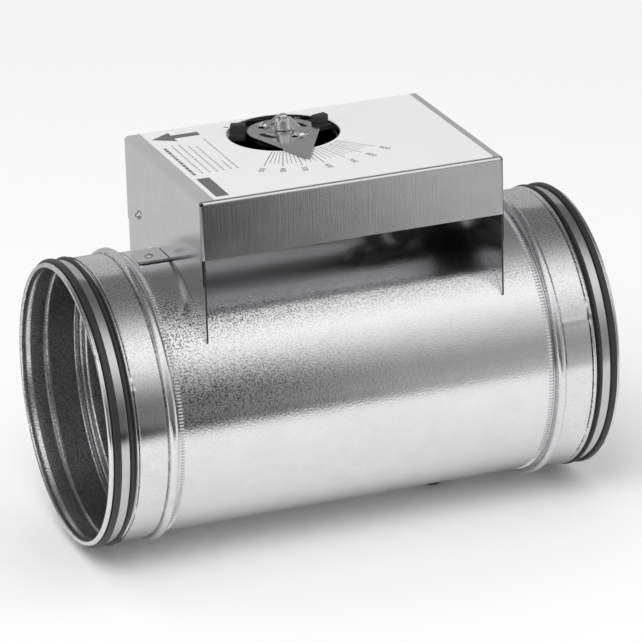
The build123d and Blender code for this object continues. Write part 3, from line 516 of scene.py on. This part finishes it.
def build_tooth_ring():
    """Ring of small teeth about the X axis."""
    tree = bpy.data.node_groups.new("tooth_ring", "GeometryNodeTree")
    tree.interface.new_socket("Geometry", in_out="INPUT", socket_type="NodeSocketGeometry")
    sizes = [
        ("Teeth", "NodeSocketInt", 268),
        ("Ring radius", "NodeSocketFloat", duct_radius),
        ("Place along", "NodeSocketFloat", 0.0),
        ("Tooth length", "NodeSocketFloat", 1.6 * MM),
        ("Tooth width", "NodeSocketFloat", 0.55 * MM),
        ("Tooth height", "NodeSocketFloat", 0.7 * MM),
    ]
    for label, kind, value in sizes:
        tree.interface.new_socket(label, in_out="INPUT", socket_type=kind).default_value = value
    tree.interface.new_socket("Finish", in_out="INPUT", socket_type="NodeSocketMaterial")
    tree.interface.new_socket("Geometry", in_out="OUTPUT", socket_type="NodeSocketGeometry")
    given = tree.nodes.new("NodeGroupInput").outputs
    ring = tree.nodes.new("GeometryNodeMeshCircle")
    tree.links.new(given["Teeth"], ring.inputs["Vertices"])
    tree.links.new(given["Ring radius"], ring.inputs["Radius"])
    tooth = tree.nodes.new("GeometryNodeMeshUVSphere")
    tooth.inputs["Segments"].default_value = 8
    tooth.inputs["Rings"].default_value = 5
    tooth.inputs["Radius"].default_value = 1.0
    size = tree.nodes.new("ShaderNodeCombineXYZ")
    tree.links.new(given["Tooth height"], size.inputs["X"])
    tree.links.new(given["Tooth width"], size.inputs["Y"])
    tree.links.new(given["Tooth length"], size.inputs["Z"])
    index = tree.nodes.new("GeometryNodeInputIndex")
    step = maths(tree, "DIVIDE", 2 * math.pi, given["Teeth"])
    turn = tree.nodes.new("ShaderNodeCombineXYZ")
    tree.links.new(maths(tree, "MULTIPLY", index.outputs[0], step), turn.inputs["Z"])
    spread = tree.nodes.new("GeometryNodeInstanceOnPoints")
    tree.links.new(ring.outputs["Mesh"], spread.inputs["Points"])
    tree.links.new(tooth.outputs["Mesh"], spread.inputs["Instance"])
    tree.links.new(turn.outputs[0], spread.inputs["Rotation"])
    tree.links.new(size.outputs[0], spread.inputs["Scale"])
    along = tree.nodes.new("ShaderNodeCombineXYZ")
    tree.links.new(given["Place along"], along.inputs["X"])
    upright = tree.nodes.new("GeometryNodeTransform")
    upright.inputs["Rotation"].default_value = (0.0, math.pi / 2, 0.0)
    tree.links.new(spread.outputs[0], upright.inputs["Geometry"])
    tree.links.new(along.outputs[0], upright.inputs["Translation"])
    real = tree.nodes.new("GeometryNodeRealizeInstances")
    tree.links.new(upright.outputs[0], real.inputs[0])
    smooth = tree.nodes.new("GeometryNodeSetShadeSmooth")
    tree.links.new(real.outputs[0], smooth.inputs[0])
    finish = tree.nodes.new("GeometryNodeSetMaterial")
    tree.links.new(smooth.outputs[0], finish.inputs["Geometry"])
    tree.links.new(given["Finish"], finish.inputs["Material"])
    tree.links.new(finish.outputs[0], tree.nodes.new("NodeGroupOutput").inputs["Geometry"])
    return tree


def by_geometry_nodes(name, tree, values):
    """Plain mesh that a geometry-node tree makes with the given inputs."""
    piece = new_object(name, bpy.data.meshes.new(name))
    maker = piece.modifiers.new("maker", "NODES")
    maker.node_group = tree
    for item in tree.interface.items_tree:
        if item.in_out == "INPUT" and item.name in values:
            maker[item.identifier] = values[item.name]
    return applied(piece)


tooth_ring = build_tooth_ring()
tooth_row_x = 108.9 * MM
for side, end_name in duct_ends:
    teeth = by_geometry_nodes(
        end_name + "_tooth_row", tooth_ring,
        {"Place along": side * tooth_row_x, "Ring radius": duct_radius, "Finish": duct_zinc},
    )
    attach(teeth, "duct_body")


# Collars

# Angles in degrees about the duct, 0 in front and 90 on top
crease_gaps = (27.0, -31.0)
hem_notches = (148.0, -151.0, -90.0, 40.0)
lap_angle = 22.0
band_lap_angle = 118.0

crease_depth = 0.85 * MM
crease_half_width = 0.75 * MM
gap_half_angle = 3.4
gap_edge_lift = 0.35 * MM
notch_depth = 0.45 * MM
lap_lift = 0.4 * MM
lap_dip = 0.9 * MM
bead_crown_half = 0.9 * MM
bead_flank_half = 2.3 * MM
bead_foot_half = 2.9 * MM
bead_foot_depth = 0.35 * MM
bead_end_x = bead_x + 3.2 * MM


def collar_path():
    """Outer line of the collar's sheet, from the lap inside the duct to the rolled hem."""
    duct_lap = 9.0 * MM
    lap_radius = duct_inner_radius - 0.05 * MM
    shoulder_radius = bead_radius - 1.05 * MM
    path = rounded_path(
        [
            (duct_half_length - duct_lap, lap_radius),
            (bead_x - 3.0 * MM, lap_radius),
            (bead_x - bead_flank_half, shoulder_radius),
            (bead_x - bead_crown_half, bead_radius),
            (bead_x + bead_crown_half, bead_radius),
            (bead_x + bead_flank_half, shoulder_radius),
            (bead_x + bead_foot_half, spigot_radius - bead_foot_depth),
            (bead_x + 3.5 * MM, spigot_radius),
            (crease_x - 4.0 * MM, spigot_radius),
        ],
        0.5 * MM,
    )
    for step in range(-8, 9):
        path.append((crease_x + step * 0.2 * MM, spigot_radius))
    path += rounded_path(
        [
            (seat_start - 1.9 * MM, spigot_radius),
            (seat_start, seat_radius),
            (seat_end, seat_radius),
            (seat_end + 0.35 * MM, hem_radius),
            (seat_end + 0.9 * MM, hem_radius),
            (seat_end + 1.15 * MM, hem_radius - 0.3 * MM),
        ],
        0.3 * MM,
    )
    roll = 1.25 * MM
    roll_x = half_length - roll
    roll_top = hem_radius - 0.15 * MM
    roll_steps = 12
    for step in range(roll_steps + 1):
        turn = math.pi / 2 - math.pi * step / roll_steps
        path.append((roll_x + roll * math.cos(turn), roll_top - roll * (1 - math.sin(turn))))
    tail = ((1.2, 0.85), (2.4, 0.8), (2.9, 0.65), (4.4, 0.02), (4.7, 0.02))
    path += [(roll_x - back * MM, mouth_radius + lift * MM) for back, lift in tail]
    return path


def collar_dent(lap):
    """Crease with its gaps, hem notches and, on one collar, the lapped joint."""

    def dent(x, radius, turn):
        if x > bead_x and radius > seat_radius - sheet:
            groove = max(0.0, 1 - abs(x - crease_x) / crease_half_width)
            for gap in crease_gaps:
                edges = (gap - gap_half_angle, gap + gap_half_angle)
                edge = sum(bell(apart(turn, angle), 0.9) for angle in edges)
                radius += gap_edge_lift * edge * bell(x - crease_x, 1.1 * MM)
            radius -= crease_depth * groove * crease_share(turn)
        for notch in hem_notches:
            near = bell(apart(turn, notch), 0.9)
            if near > 0.01 and x > seat_end:
                x -= notch_depth * near * (x - seat_end) / (half_length - seat_end)
        if lap and bead_end_x < x < seat_start and radius > seat_radius:
            ripple = bell(apart(turn, lap_angle), 1.0) * (0.25 + 0.2 * math.sin(x / (0.6 * MM)))
            radius += lap_lift * ripple
            radius -= lap_dip * bell(apart(turn, lap_angle), 1.5) * bell(x - crease_x, 0.9 * MM)
        return x, radius

    return dent


def add_spangle(piece, share):
    """Store how strongly the zinc's dark dots and, above 1, its painted shade show at each point of a
    ring.
    """
    layer = piece.data.attributes.new("spangle_and_shade", "FLOAT", "POINT")
    for vertex, value in zip(piece.data.vertices, layer.data):
        x, y, z = vertex.co
        value.value = share(x, math.degrees(math.atan2(z, -y)))


def line_inside(piece, material, radius):
    """Give the faces inside a radius that look inwards, or along the duct, their own material."""
    piece.data.materials.append(material)
    for face in piece.data.polygons:
        out = Vector((0.0, face.center.y, face.center.z))
        inwards = face.normal.dot(out.normalized()) < -0.05
        along = abs(face.normal.x) > 0.9
        if out.length < radius and (inwards or along):
            face.material_index = 1


def rear_share(turn):
    """Extra dots on the duct's rear half, which shows from inside through the mouth."""
    most, start_angle, softness = 0.42, 100, 4.0
    return most / (1 + math.exp((start_angle - abs(turn)) / softness))


def tube_spangle(x, turn):
    """Dots lie in two bands on the tube's front, stronger to the downstream end."""
    leftwards = 1 / (1 + math.exp((x + 40 * MM) / (22 * MM)))
    low_band = bell(turn - 18, width=13) * leftwards
    high_band = bell(turn - 47, width=7) * (0.35 + 0.65 * leftwards)
    end_patch = bell(turn - 48, width=14) * bell(x + 104 * MM, width=14 * MM)
    return min(1.0, 0.05 + low_band + high_band + end_patch + rear_share(turn))


def crease_share(turn):
    """How open the crease is at an angle: nothing in its gaps."""
    return max(0.0, 1 - sum(bell(apart(turn, gap), width=1.9) for gap in crease_gaps))


def collar_spangle(x, turn):
    """Faint dots over the collars, more of them high up, and painted shade in the crease and at the
    bead's foot.
    """
    along = abs(x)
    # Painted shade: values above 1 darken the zinc in the crease and at the bead's foot
    painted_shade = 1.9 * bell(along - crease_x - 0.1 * MM, width=0.35 * MM) * crease_share(turn)
    foot = 1.55 * bell(along - bead_x - bead_foot_half, width=0.3 * MM)
    dots = 0.12 + 0.3 * bell(turn - 70, width=30) + rear_share(turn)
    return max(painted_shade, foot, dots)


def faced(section, side):
    """Section on one side of the middle."""
    return [(side * x, radius) for x, radius in section]


def mirrored_dent(dent, side):
    """Dent for a section on one side of the middle."""

    def turned(x, radius, turn):
        moved_x, moved_radius = dent(side * x, radius, turn)
        return side * moved_x, moved_radius

    return turned


tube = lathe("duct_tube_sheet", tube_section(), 360)

# Rings along the tube, so that its speckle can change from place to place
tube_rings = bmesh.new()
tube_rings.from_mesh(tube.data)
bmesh.ops.subdivide_edges(
    tube_rings,
    edges=[edge for edge in tube_rings.edges if edge.calc_length() > duct_half_length],
    cuts=47,
    use_grid_fill=True,
)
tube_rings.to_mesh(tube.data)
tube_rings.free()
place(tube, duct_zinc, "duct_body", "galvanised_sheet", "duct_tube")
# Inner faces take the darker zinc copy as painted shade
line_inside(tube, shaded_inner_zinc, duct_inner_radius + 0.1 * MM)
add_spangle(tube, tube_spangle)

collar_section = sheet_section(collar_path(), sheet)
seal_low = seat_start + 0.2 * MM
seal_high = seat_end - 0.2 * MM
inner_lip = 1.9 * MM
outer_lip = 3.6 * MM
band_gap = 0.3 * MM
band_bottom = seal_radius + 0.02 * MM
band_top = seal_radius + 0.5 * MM


def lip_crown(low, high):
    """Crown of one rubber lip."""
    edge_radius = lip_radius - 0.9 * MM
    crest_radius = lip_radius - 0.1 * MM
    slope = 0.5 * MM
    return [
        (low, edge_radius),
        (low + slope, crest_radius),
        (0.5 * (low + high), lip_radius),
        (high - slope, crest_radius),
        (high, edge_radius),
    ]


seal_path = rounded_path(
    [
        (seal_low, seat_radius),
        *lip_crown(seal_low, seal_low + inner_lip),
        (seal_low + inner_lip, seal_radius),
        (seal_high - outer_lip, seal_radius),
        *lip_crown(seal_high - outer_lip, seal_high),
        (seal_high, seat_radius),
    ],
    0.5 * MM,
)
band_low = seal_low + inner_lip + band_gap
band_high = seal_high - outer_lip - band_gap
band_path = rounded_path(
    [(band_low, band_bottom), (band_low, band_top), (band_high, band_top), (band_high, band_bottom)],
    0.3 * MM,
)


def band_dent(x, radius, turn):
    """Overlapped end of the clamp band."""
    if radius > 0.5 * (band_bottom + band_top):
        radius += 0.25 * MM * bell(apart(turn, band_lap_angle), 3.0)
    return x, radius


for side, end_name in duct_ends:
    collar_turned = mirrored_dent(collar_dent(side > 0), side)
    collar = lathe(end_name + "_collar_sheet", faced(collar_section, side), 480, collar_turned)
    place(collar, collar_zinc, "duct_body", "galvanised_sheet", end_name + "_collar")
    # Inner faces take the darker zinc copy as painted shade
    line_inside(collar, shaded_inner_zinc, bead_radius)
    add_spangle(collar, collar_spangle)
    seal = lathe(end_name + "_seal_ring", faced(seal_path, side), 240, sharp_degrees=60)
    place(seal, seal_rubber, "duct_body", "seal_rubber", end_name + "_gasket")
    band = lathe(
        end_name + "_band_ring", faced(band_path, side), 360, mirrored_dent(band_dent, side)
    )
    place(band, band_steel, "duct_body", "bright_steel", end_name + "_clamp_band")


# Cover, brackets, bearing, dial, pointer and wing nut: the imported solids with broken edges

def full_dome(piece, radius, swell, dome):
    """Round out the bearing's lower end, which shows as a nub under the duct."""
    bottom = min(vertex.co.z for vertex in piece.data.vertices)
    for vertex in piece.data.vertices:
        if vertex.co.z < -duct_radius - 0.5 * MM:
            x, y = vertex.co.x - axle_x, vertex.co.y
            share = min(1.0, math.hypot(x, y) / radius)
            vertex.co.x, vertex.co.y = axle_x + swell * x, swell * y
            if vertex.co.z < bottom + dome:
                vertex.co.z = bottom + dome * (1 - (1 - share**4) ** 0.25)


def corner_holes(piece, places, radius, reach):
    """Drill the round reliefs where three bends of the cover meet."""
    for index, (x, y, z) in enumerate(places):
        drill = bmesh.new()
        slope = Vector((math.copysign(1, x), math.copysign(1, y), 1.0)).normalized()
        turned = slope.to_track_quat("Z", "Y").to_matrix().to_4x4()
        bmesh.ops.create_cone(
            drill, cap_ends=True, segments=20, radius1=radius, radius2=radius, depth=reach,
            matrix=Matrix.Translation((x, y, z)) @ turned,
        )
        mesh = bpy.data.meshes.new("corner drill")
        drill.to_mesh(mesh)
        drill.free()
        cutter = new_object("corner_drill_" + str(index), mesh)
        cut = piece.modifiers.new("relief", "BOOLEAN")
        cut.operation = "DIFFERENCE"
        cut.solver = "EXACT"
        cut.object = cutter
        applied(piece)
        bpy.data.objects.remove(cutter)


def line_casing(piece, lining, low_z):
    """Line a casing above a height, and paint shade on its cut edges and on the seams at its upright
    corners with darker copies of the zinc.
    """
    shape = bmesh.new()
    shape.from_mesh(piece.data)
    everything = [*shape.verts, *shape.edges, *shape.faces]
    bmesh.ops.bisect_plane(shape, geom=everything, plane_co=(0, 0, low_z), plane_no=(0, 0, 1))
    shape.to_mesh(piece.data)
    shape.free()
    middle = Vector((0.0, 0.0, 100 * MM))
    bend_start_x = cover_end_x - 2.3 * MM
    foot_side_y = 35 * MM
    squarely = 0.97
    lining_index, shaded_edge_index, shaded_seam_index = 1, 2, 3
    for material in (lining, shaded_cut_edge, shaded_seam_zinc):
        piece.data.materials.append(material)
    for face in piece.data.polygons:
        place_of, facing = face.center, face.normal
        if abs(place_of.x) > cover_end_x + 0.1 * MM:
            continue
        if facing.dot(place_of - middle) < -0.5 * MM:
            face.material_index = lining_index if place_of.z > low_z else 0
        elif abs(place_of.x) > bend_start_x and abs(place_of.y) > foot_side_y and abs(facing.z) < 0.5:
            if place_of.z < flange_bottom:
                if abs(facing.y) > 0.5:
                    # Front edges of the legs: painted shade
                    face.material_index = shaded_edge_index
            elif place_of.z > flange_bottom and max(abs(facing.x), abs(facing.y)) < squarely:
                # Rounded upright corners: painted shade over their highlight
                face.material_index = shaded_seam_index


cover_sheet = softened("cover", "cover_sheet", 0.18 * MM)
cover_corners = [
    (x, y, cover_top - 0.5 * MM)
    for x in (-cover_end_x, cover_end_x)
    for y in (-cover_side_y, cover_side_y)
]
corner_holes(cover_sheet, cover_corners, radius=1.0 * MM, reach=9.0 * MM)
place(cover_sheet, cover_zinc, "duct_body", "galvanised_sheet", "cover")
line_casing(cover_sheet, cover_zinc, -duct_radius)
bearing = softened("lower_bearing", "bearing_nub", 0.1 * MM)
full_dome(bearing, radius=4.0 * MM, swell=1.4, dome=2.6 * MM)
place(bearing, bearing_plastic, "duct_body", "bearing_plastic", "lower_bearing")
bracket_sheet = softened("end_brackets", "bracket_sheet", 0.15 * MM)
place(bracket_sheet, cover_zinc, "duct_body", "galvanised_sheet", "end_brackets")
# The bracket's inside above this height is lined with painted shade
line_casing(bracket_sheet, shaded_casing_zinc, flange_bottom - 6 * MM)
dial_moulding = softened("dial_disc", "dial_moulding", 0.3 * MM)
place(dial_moulding, dial_plastic, "dial", "black_plastic", "dial_disc")
pointer_sheet = softened("pointer_plate", "pointer_sheet", 0.12 * MM)
place(pointer_sheet, shaded_pointer_steel, "dial", "zinc_plated_steel", "pointer_plate")
wing_nut_casting = softened("wing_nut", "wing_nut_casting", 0.45 * MM)
place(wing_nut_casting, plated_steel, "wing_nut", "zinc_plated_steel", "wing_nut")

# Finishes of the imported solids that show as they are

node_finish = {
    "carrier_plate": cover_zinc,
    "scale_label": label_film,
    "foot_rivets": rivet_aluminium,
    "blade_rivets": rivet_aluminium,
    "cover_screws": plated_steel,
    "pointer_screws": plated_steel,
    "pointer_washers": plated_steel,
    "nut_washer": plated_steel,
    "dial_stud": plated_steel,
    "damper_screws": plated_steel,
    "stop_post": plated_steel,
    "dial_pin": plated_steel,
    "arm_pin": plated_steel,
    "link_rod": plated_steel,
    "setting_arm": plated_steel,
    "blade_axle": plated_steel,
    "dial_pin_clip": spring_steel,
    "arm_pin_clip": spring_steel,
    "axle_clips": spring_steel,
    "torsion_spring": spring_steel,
    "sector_grub_screw": spring_steel,
    "damper_blade": collar_zinc,
    "blade_clamps": collar_zinc,
    "damper_housing": damper_plastic,
    "upper_bearing": bearing_plastic,
    "sector_gear": gear_plastic,
    "damper_pinion": gear_plastic,
}
for node_name, finish in node_finish.items():
    dress(nodes[node_name], finish)


# Print on the label

ink_lift = 0.03 * MM


def flat_piece(name, outlines):
    """Flat print made of closed outlines just above the label."""
    shape = bmesh.new()
    for outline in outlines:
        corners = [shape.verts.new((x, y, label_top + ink_lift)) for x, y in outline]
        face = shape.faces.new(corners)
        face.normal_update()
        if face.normal.z < 0:
            face.normal_flip()
    mesh = bpy.data.meshes.new(name)
    shape.to_mesh(mesh)
    shape.free()
    return new_object(name, mesh)


def bar(start, end, width):
    """Outline of a straight line of print."""
    along = (Vector(end) - Vector(start)).normalized()
    across = Vector((-along.y, along.x)) * (width / 2)
    start, end = Vector(start), Vector(end)
    return [tuple(start - across), tuple(end - across), tuple(end + across), tuple(start + across)]


def on_dial(radius, angle):
    """Point on the label at a radius and an angle about the dial."""
    turn = math.radians(angle)
    return (dial_x + radius * math.cos(turn), dial_y + radius * math.sin(turn))


ray_angles = (-121.4, -111.1, -100.4, -88.1, -74.7, -62.4, -50.5)
ray_start = 33.7 * MM
ray_end = 58.0 * MM
ray_width = 0.42 * MM
tick_end = 53.5 * MM
tick_width = 0.28 * MM


def dial_line(start, end, angle, width):
    """Line of print along a radius of the dial."""
    return bar(on_dial(start, angle), on_dial(end, angle), width)


def scale_rays():
    """Long rays of the scale and the three short ones between each pair."""
    lines = [dial_line(ray_start, ray_end, angle, ray_width) for angle in ray_angles]
    for first, second in zip(ray_angles, ray_angles[1:]):
        for share in (0.25, 0.5, 0.75):
            angle = first + (second - first) * share
            lines.append(dial_line(ray_start, tick_end, angle, tick_width))
    return lines


def flow_arrow():
    """Arrow along the air's way."""
    tip_x, barb_x, neck_x, tail_x = -77.1 * MM, -64.6 * MM, -64.9 * MM, -49.4 * MM
    shaft_low, shaft_high = 44.6 * MM, 50.3 * MM
    return [
        (tip_x, 47.4 * MM),
        (barb_x, 39.4 * MM),
        (neck_x, shaft_low),
        (tail_x, shaft_low),
        (tail_x, shaft_high),
        (neck_x, shaft_high),
        (barb_x, 55.4 * MM),
    ]


def index_mark():
    """Small mark at the hole's edge."""
    return dial_line(start=32.6 * MM, end=35.6 * MM, angle=139.5, width=1.2 * MM)


dark_print = flat_piece("scale_print", scale_rays() + [index_mark()])
place(dark_print, label_ink, "duct_body", "white_label")
place(flat_piece("arrow_print", [flow_arrow()]), middle_ink, "duct_body", "white_label")


def dashed_row(x, high_y, low_y, width, dash, gap):
    """Row of short dashes of uneven length, down one line of the label."""
    dashes = []
    y = high_y
    while y - dash * 0.5 > low_y:
        length = min(dash * random.uniform(0.5, 1.3), y - low_y)
        dashes.append(bar((x, y), (x, y - length), width))
        y -= length + gap * random.uniform(0.7, 1.3)
    return dashes


def note_rows():
    """Small rows of plain dashes, each down its own line of the label."""
    places = (
        (-70.5, 33.0, -18.0),
        (-66.3, 33.0, -18.0),
        (-62.1, 29.0, -18.3),
        (-58.1, 26.8, -17.5),
        (-53.8, -2.2, -17.4),
        (-50.0, 37.6, -17.7),
    )
    width, dash, gap = 1.1 * MM, 2.6 * MM, 1.0 * MM
    rows = []
    for x, high_y, low_y in places:
        rows += dashed_row(x * MM, high_y * MM, low_y * MM, width, dash, gap)
    return rows


heading = dashed_row(
    -75.5 * MM, high_y=30.6 * MM, low_y=-19.2 * MM, width=1.8 * MM, dash=3.4 * MM, gap=0.9 * MM
)
place(flat_piece("heading_print", heading), middle_ink, "duct_body", "white_label")
place(flat_piece("note_print", note_rows()), pale_ink, "duct_body", "white_label")
panel_corners = ((-77.1, -25.4), (-77.1, -57.0), (-69.7, -57.2), (-69.7, -25.6))
panel = [(x * MM, y * MM) for x, y in panel_corners]
place(flat_piece("panel_print", [panel]), middle_ink, "duct_body", "white_label")


def scale_number(text, angle):
    """Number of the scale, read outwards along its ray."""
    number_radius = 64.2 * MM
    curve = bpy.data.curves.new("number_" + text, "FONT")
    curve.body = text
    curve.size = 4.6 * MM
    curve.align_x = "CENTER"
    curve.align_y = "CENTER"
    curve.fill_mode = "FRONT"
    letter = bpy.data.objects.new("number_" + text, curve)
    bpy.context.scene.collection.objects.link(letter)
    graph = bpy.context.evaluated_depsgraph_get()
    mesh = bpy.data.meshes.new_from_object(letter.evaluated_get(graph))
    x, y = on_dial(number_radius, angle)
    turned = Matrix.Rotation(math.radians(angle), 4, "Z")
    mesh.transform(Matrix.Translation((x, y, label_top + ink_lift)) @ turned)
    bpy.data.objects.remove(letter)
    return new_object("scale_number_" + text, mesh)


for flow, angle in zip(range(300, 1000, 100), ray_angles):
    place(scale_number(str(flow), angle), label_ink, "duct_body", "white_label")


# Studio: floor, cards that only reflections see, lamps, world and camera

def level_corners(reach, near_y, far_y, z):
    """Corners of a level sheet."""
    return [(-reach, near_y, z), (reach, near_y, z), (reach, far_y, z), (-reach, far_y, z)]


def standing_corners(reach, y, low_z, high_z):
    """Corners of a sheet that stands across the view."""
    return [(-reach, y, low_z), (reach, y, low_z), (reach, y, high_z), (-reach, y, high_z)]


def plane(name, corners):
    """Flat four-sided piece of the studio."""
    mesh = bpy.data.meshes.new(name)
    mesh.from_pydata(corners, [], [(0, 1, 2, 3)])
    piece = new_object(name, mesh)
    return piece


def build_floor():
    """Pale floor under the object."""
    reach = 4.0
    floor = plane("studio_floor", level_corners(reach, -reach, reach, floor_z))
    material = bpy.data.materials.new("floor paint")
    material.use_nodes = True
    shader = material.node_tree.nodes["Principled BSDF"]
    shader.inputs["Base Color"].default_value = (0.97, 0.97, 0.97, 1.0)
    shader.inputs["Roughness"].default_value = 0.9
    shader.inputs["Specular IOR Level"].default_value = 0.0
    dress(floor, material)


def grey_ramp(tree, stops):
    """Ramp of grey levels; each stop gives a value and its level."""
    low, high = stops[0][0], stops[-1][0]
    ramp = tree.nodes.new("ShaderNodeValToRGB")
    elements = ramp.color_ramp.elements
    while len(elements) < len(stops):
        elements.new(0.5)
    for element, (at, level) in zip(elements, stops):
        element.position = (at - low) / (high - low)
        element.color = (level, level, level, 1.0)
    return ramp


def ramp_by(tree, value, stops):
    """Level read from a value through a row of stops."""
    share = tree.nodes.new("ShaderNodeMapRange")
    share.inputs["From Min"].default_value = stops[0][0]
    share.inputs["From Max"].default_value = stops[-1][0]
    tree.links.new(value, share.inputs["Value"])
    ramp = grey_ramp(tree, stops)
    tree.links.new(share.outputs[0], ramp.inputs["Fac"])
    split = tree.nodes.new("ShaderNodeSeparateColor")
    tree.links.new(ramp.outputs["Color"], split.inputs["Color"])
    return split.outputs[0]


def faded(tree, level, value, reach, goal, interpolation="LINEAR"):
    """Level that goes over to a goal while a value runs through a reach."""
    fade = tree.nodes.new("ShaderNodeMapRange")
    fade.interpolation_type = interpolation
    fade.inputs["From Min"].default_value, fade.inputs["From Max"].default_value = reach
    tree.links.new(value, fade.inputs["Value"])
    blend = tree.nodes.new("ShaderNodeMix")
    tree.links.new(fade.outputs[0], blend.inputs["Factor"])
    tree.links.new(level, blend.inputs["A"])
    blend.inputs["B"].default_value = goal
    return blend.outputs["Result"]


def card(name, corners, along, up=None, fade_y=None):
    """Studio card that only reflections see.

    Its level changes along X, and where they are given, up Z and from one Y to another.
    """
    piece = plane(name, corners)
    piece.visible_camera = False
    piece.visible_diffuse = False
    piece.visible_shadow = False
    piece.visible_transmission = False
    material = bpy.data.materials.new(name + " face")
    material.use_nodes = True
    tree = material.node_tree
    tree.nodes.clear()
    place_of = tree.nodes.new("ShaderNodeTexCoord")
    split = tree.nodes.new("ShaderNodeSeparateXYZ")
    tree.links.new(place_of.outputs["Object"], split.inputs[0])
    level = ramp_by(tree, split.outputs["X"], along)
    if up:
        plain_start, plain_end = 0.25, up[-1][0]
        level = faded(tree, level, split.outputs["Z"], (plain_start, plain_end), 1.0)
        level = maths(tree, "MULTIPLY", level, ramp_by(tree, split.outputs["Z"], up))
    if fade_y:
        level_by_object = 0.92
        level = faded(tree, level, split.outputs["Y"], fade_y, level_by_object, "SMOOTHSTEP")
    glow = tree.nodes.new("ShaderNodeEmission")
    tree.links.new(level, glow.inputs["Strength"])
    leaving = tree.nodes.new("ShaderNodeOutputMaterial")
    tree.links.new(glow.outputs[0], leaving.inputs["Surface"])
    dress(piece, material)


build_floor()
card_reach = 1.6
card_z = floor_z + 0.5 * MM
front_y, front_start_y, front_top = -0.95, -0.33, 0.75
back_y, back_start_y, back_top = 1.0, 0.12, 1.1
card(
    "front_floor_card",
    level_corners(card_reach, front_y, front_start_y, card_z),
    ((0.08, 0.03), (0.17, 0.16), (0.28, 0.50)),
    fade_y=(-0.48, front_start_y),
)
card(
    "front_standing_card",
    standing_corners(card_reach, front_y, card_z, front_top),
    ((0.20, 0.48), (0.27, 0.60), (0.35, 1.0), (0.45, 1.0)),
    ((-0.08, 0.40), (0.14, 0.38), (0.22, 0.42), (0.33, 0.54), (0.50, 0.72), (front_top, 0.96)),
)


def add_key_lamp():
    """Soft lamp from the upper left in front, which reflections leave out."""
    width = 1.3
    place_at = Vector((-0.9, -1.2, 1.9))
    light = bpy.data.lights.new("key_lamp", "AREA")
    light.shape = "RECTANGLE"
    light.size = width
    light.size_y = width
    light.energy = 22.0
    lamp = bpy.data.objects.new("key_lamp", light)
    bpy.context.scene.collection.objects.link(lamp)
    turned = (-place_at).to_track_quat("-Z", "Y").to_matrix().to_4x4()
    lamp.matrix_world = Matrix.Translation(place_at) @ turned
    lamp.visible_camera = False
    lamp.visible_glossy = False


add_key_lamp()
card(
    "back_floor_card",
    level_corners(card_reach, back_start_y, back_y, card_z),
    ((-0.60, 0.60), (-0.10, 0.62), (0.10, 0.30), (0.40, 0.20)),
)
card(
    "back_standing_card",
    standing_corners(card_reach, back_y, card_z, back_top),
    ((-0.40, 0.60), (0.26, 0.56), (0.36, 0.52), (0.46, 0.48)),
)


def build_world():
    """White for the camera, even light for plain surfaces, a soft studio for reflections."""
    world = bpy.data.worlds.new("studio")
    bpy.context.scene.world = world
    world.use_nodes = True
    tree = world.node_tree
    tree.nodes.clear()
    place_of = tree.nodes.new("ShaderNodeTexCoord")
    split = tree.nodes.new("ShaderNodeSeparateXYZ")
    tree.links.new(place_of.outputs["Generated"], split.inputs[0])
    forward = maths(tree, "MULTIPLY", split.outputs["Y"], -1.0)
    angle = maths(tree, "ARCTAN2", split.outputs["Z"], forward)
    share = maths(tree, "MULTIPLY_ADD", angle, 0.5 / math.pi, 0.5)
    level_by_degrees = (
        (-180, 0.22), (-150, 0.6), (-40, 0.60), (0, 0.40), (12, 0.45), (27, 0.66), (40, 0.96),
        (50, 1.16), (60, 1.12), (70, 0.90), (80, 0.55), (90, 0.30), (105, 0.20), (150, 0.20),
        (180, 0.22),
    )
    ramp = grey_ramp(tree, level_by_degrees)
    tree.links.new(share, ramp.inputs["Fac"])
    path = tree.nodes.new("ShaderNodeLightPath")
    plain_level = 0.80
    shown = tree.nodes.new("ShaderNodeMix")
    shown.data_type = "RGBA"
    shown.inputs["A"].default_value = (plain_level, plain_level, plain_level, 1.0)
    tree.links.new(path.outputs["Is Glossy Ray"], shown.inputs["Factor"])
    tree.links.new(ramp.outputs["Color"], shown.inputs["B"])
    seen = tree.nodes.new("ShaderNodeMix")
    seen.data_type = "RGBA"
    seen.inputs["B"].default_value = (1.0, 1.0, 1.0, 1.0)
    tree.links.new(path.outputs["Is Camera Ray"], seen.inputs["Factor"])
    tree.links.new(shown.outputs["Result"], seen.inputs["A"])
    sky = tree.nodes.new("ShaderNodeBackground")
    tree.links.new(seen.outputs["Result"], sky.inputs["Color"])
    leaving = tree.nodes.new("ShaderNodeOutputWorld")
    tree.links.new(sky.outputs[0], leaving.inputs["Surface"])


build_world()


def build_camera():
    """Camera at the photograph's viewing angle."""
    yaw, pitch, roll = 0.3617, 0.3664, -0.0287
    distance = 2.5992
    target = Vector((0.002504, 0.0, 0.024374))
    ahead = Vector(
        (math.sin(yaw) * math.cos(pitch), math.cos(yaw) * math.cos(pitch), -math.sin(pitch))
    )
    level_right = Vector((math.cos(yaw), -math.sin(yaw), 0.0))
    level_up = level_right.cross(ahead)
    right = math.cos(roll) * level_right + math.sin(roll) * level_up
    up = -math.sin(roll) * level_right + math.cos(roll) * level_up
    lens = bpy.data.cameras.new("camera")
    lens.sensor_width = 36.0
    lens.lens = 259.8
    lens.clip_start = 0.1
    lens.clip_end = 50.0
    camera = bpy.data.objects.new("camera", lens)
    bpy.context.scene.collection.objects.link(camera)
    turned = Matrix((right, up, -ahead)).transposed().to_4x4()
    camera.matrix_world = Matrix.Translation(target - ahead * distance) @ turned
    bpy.context.scene.camera = camera


build_camera()
bpy.context.scene.view_settings.view_transform = "Standard"
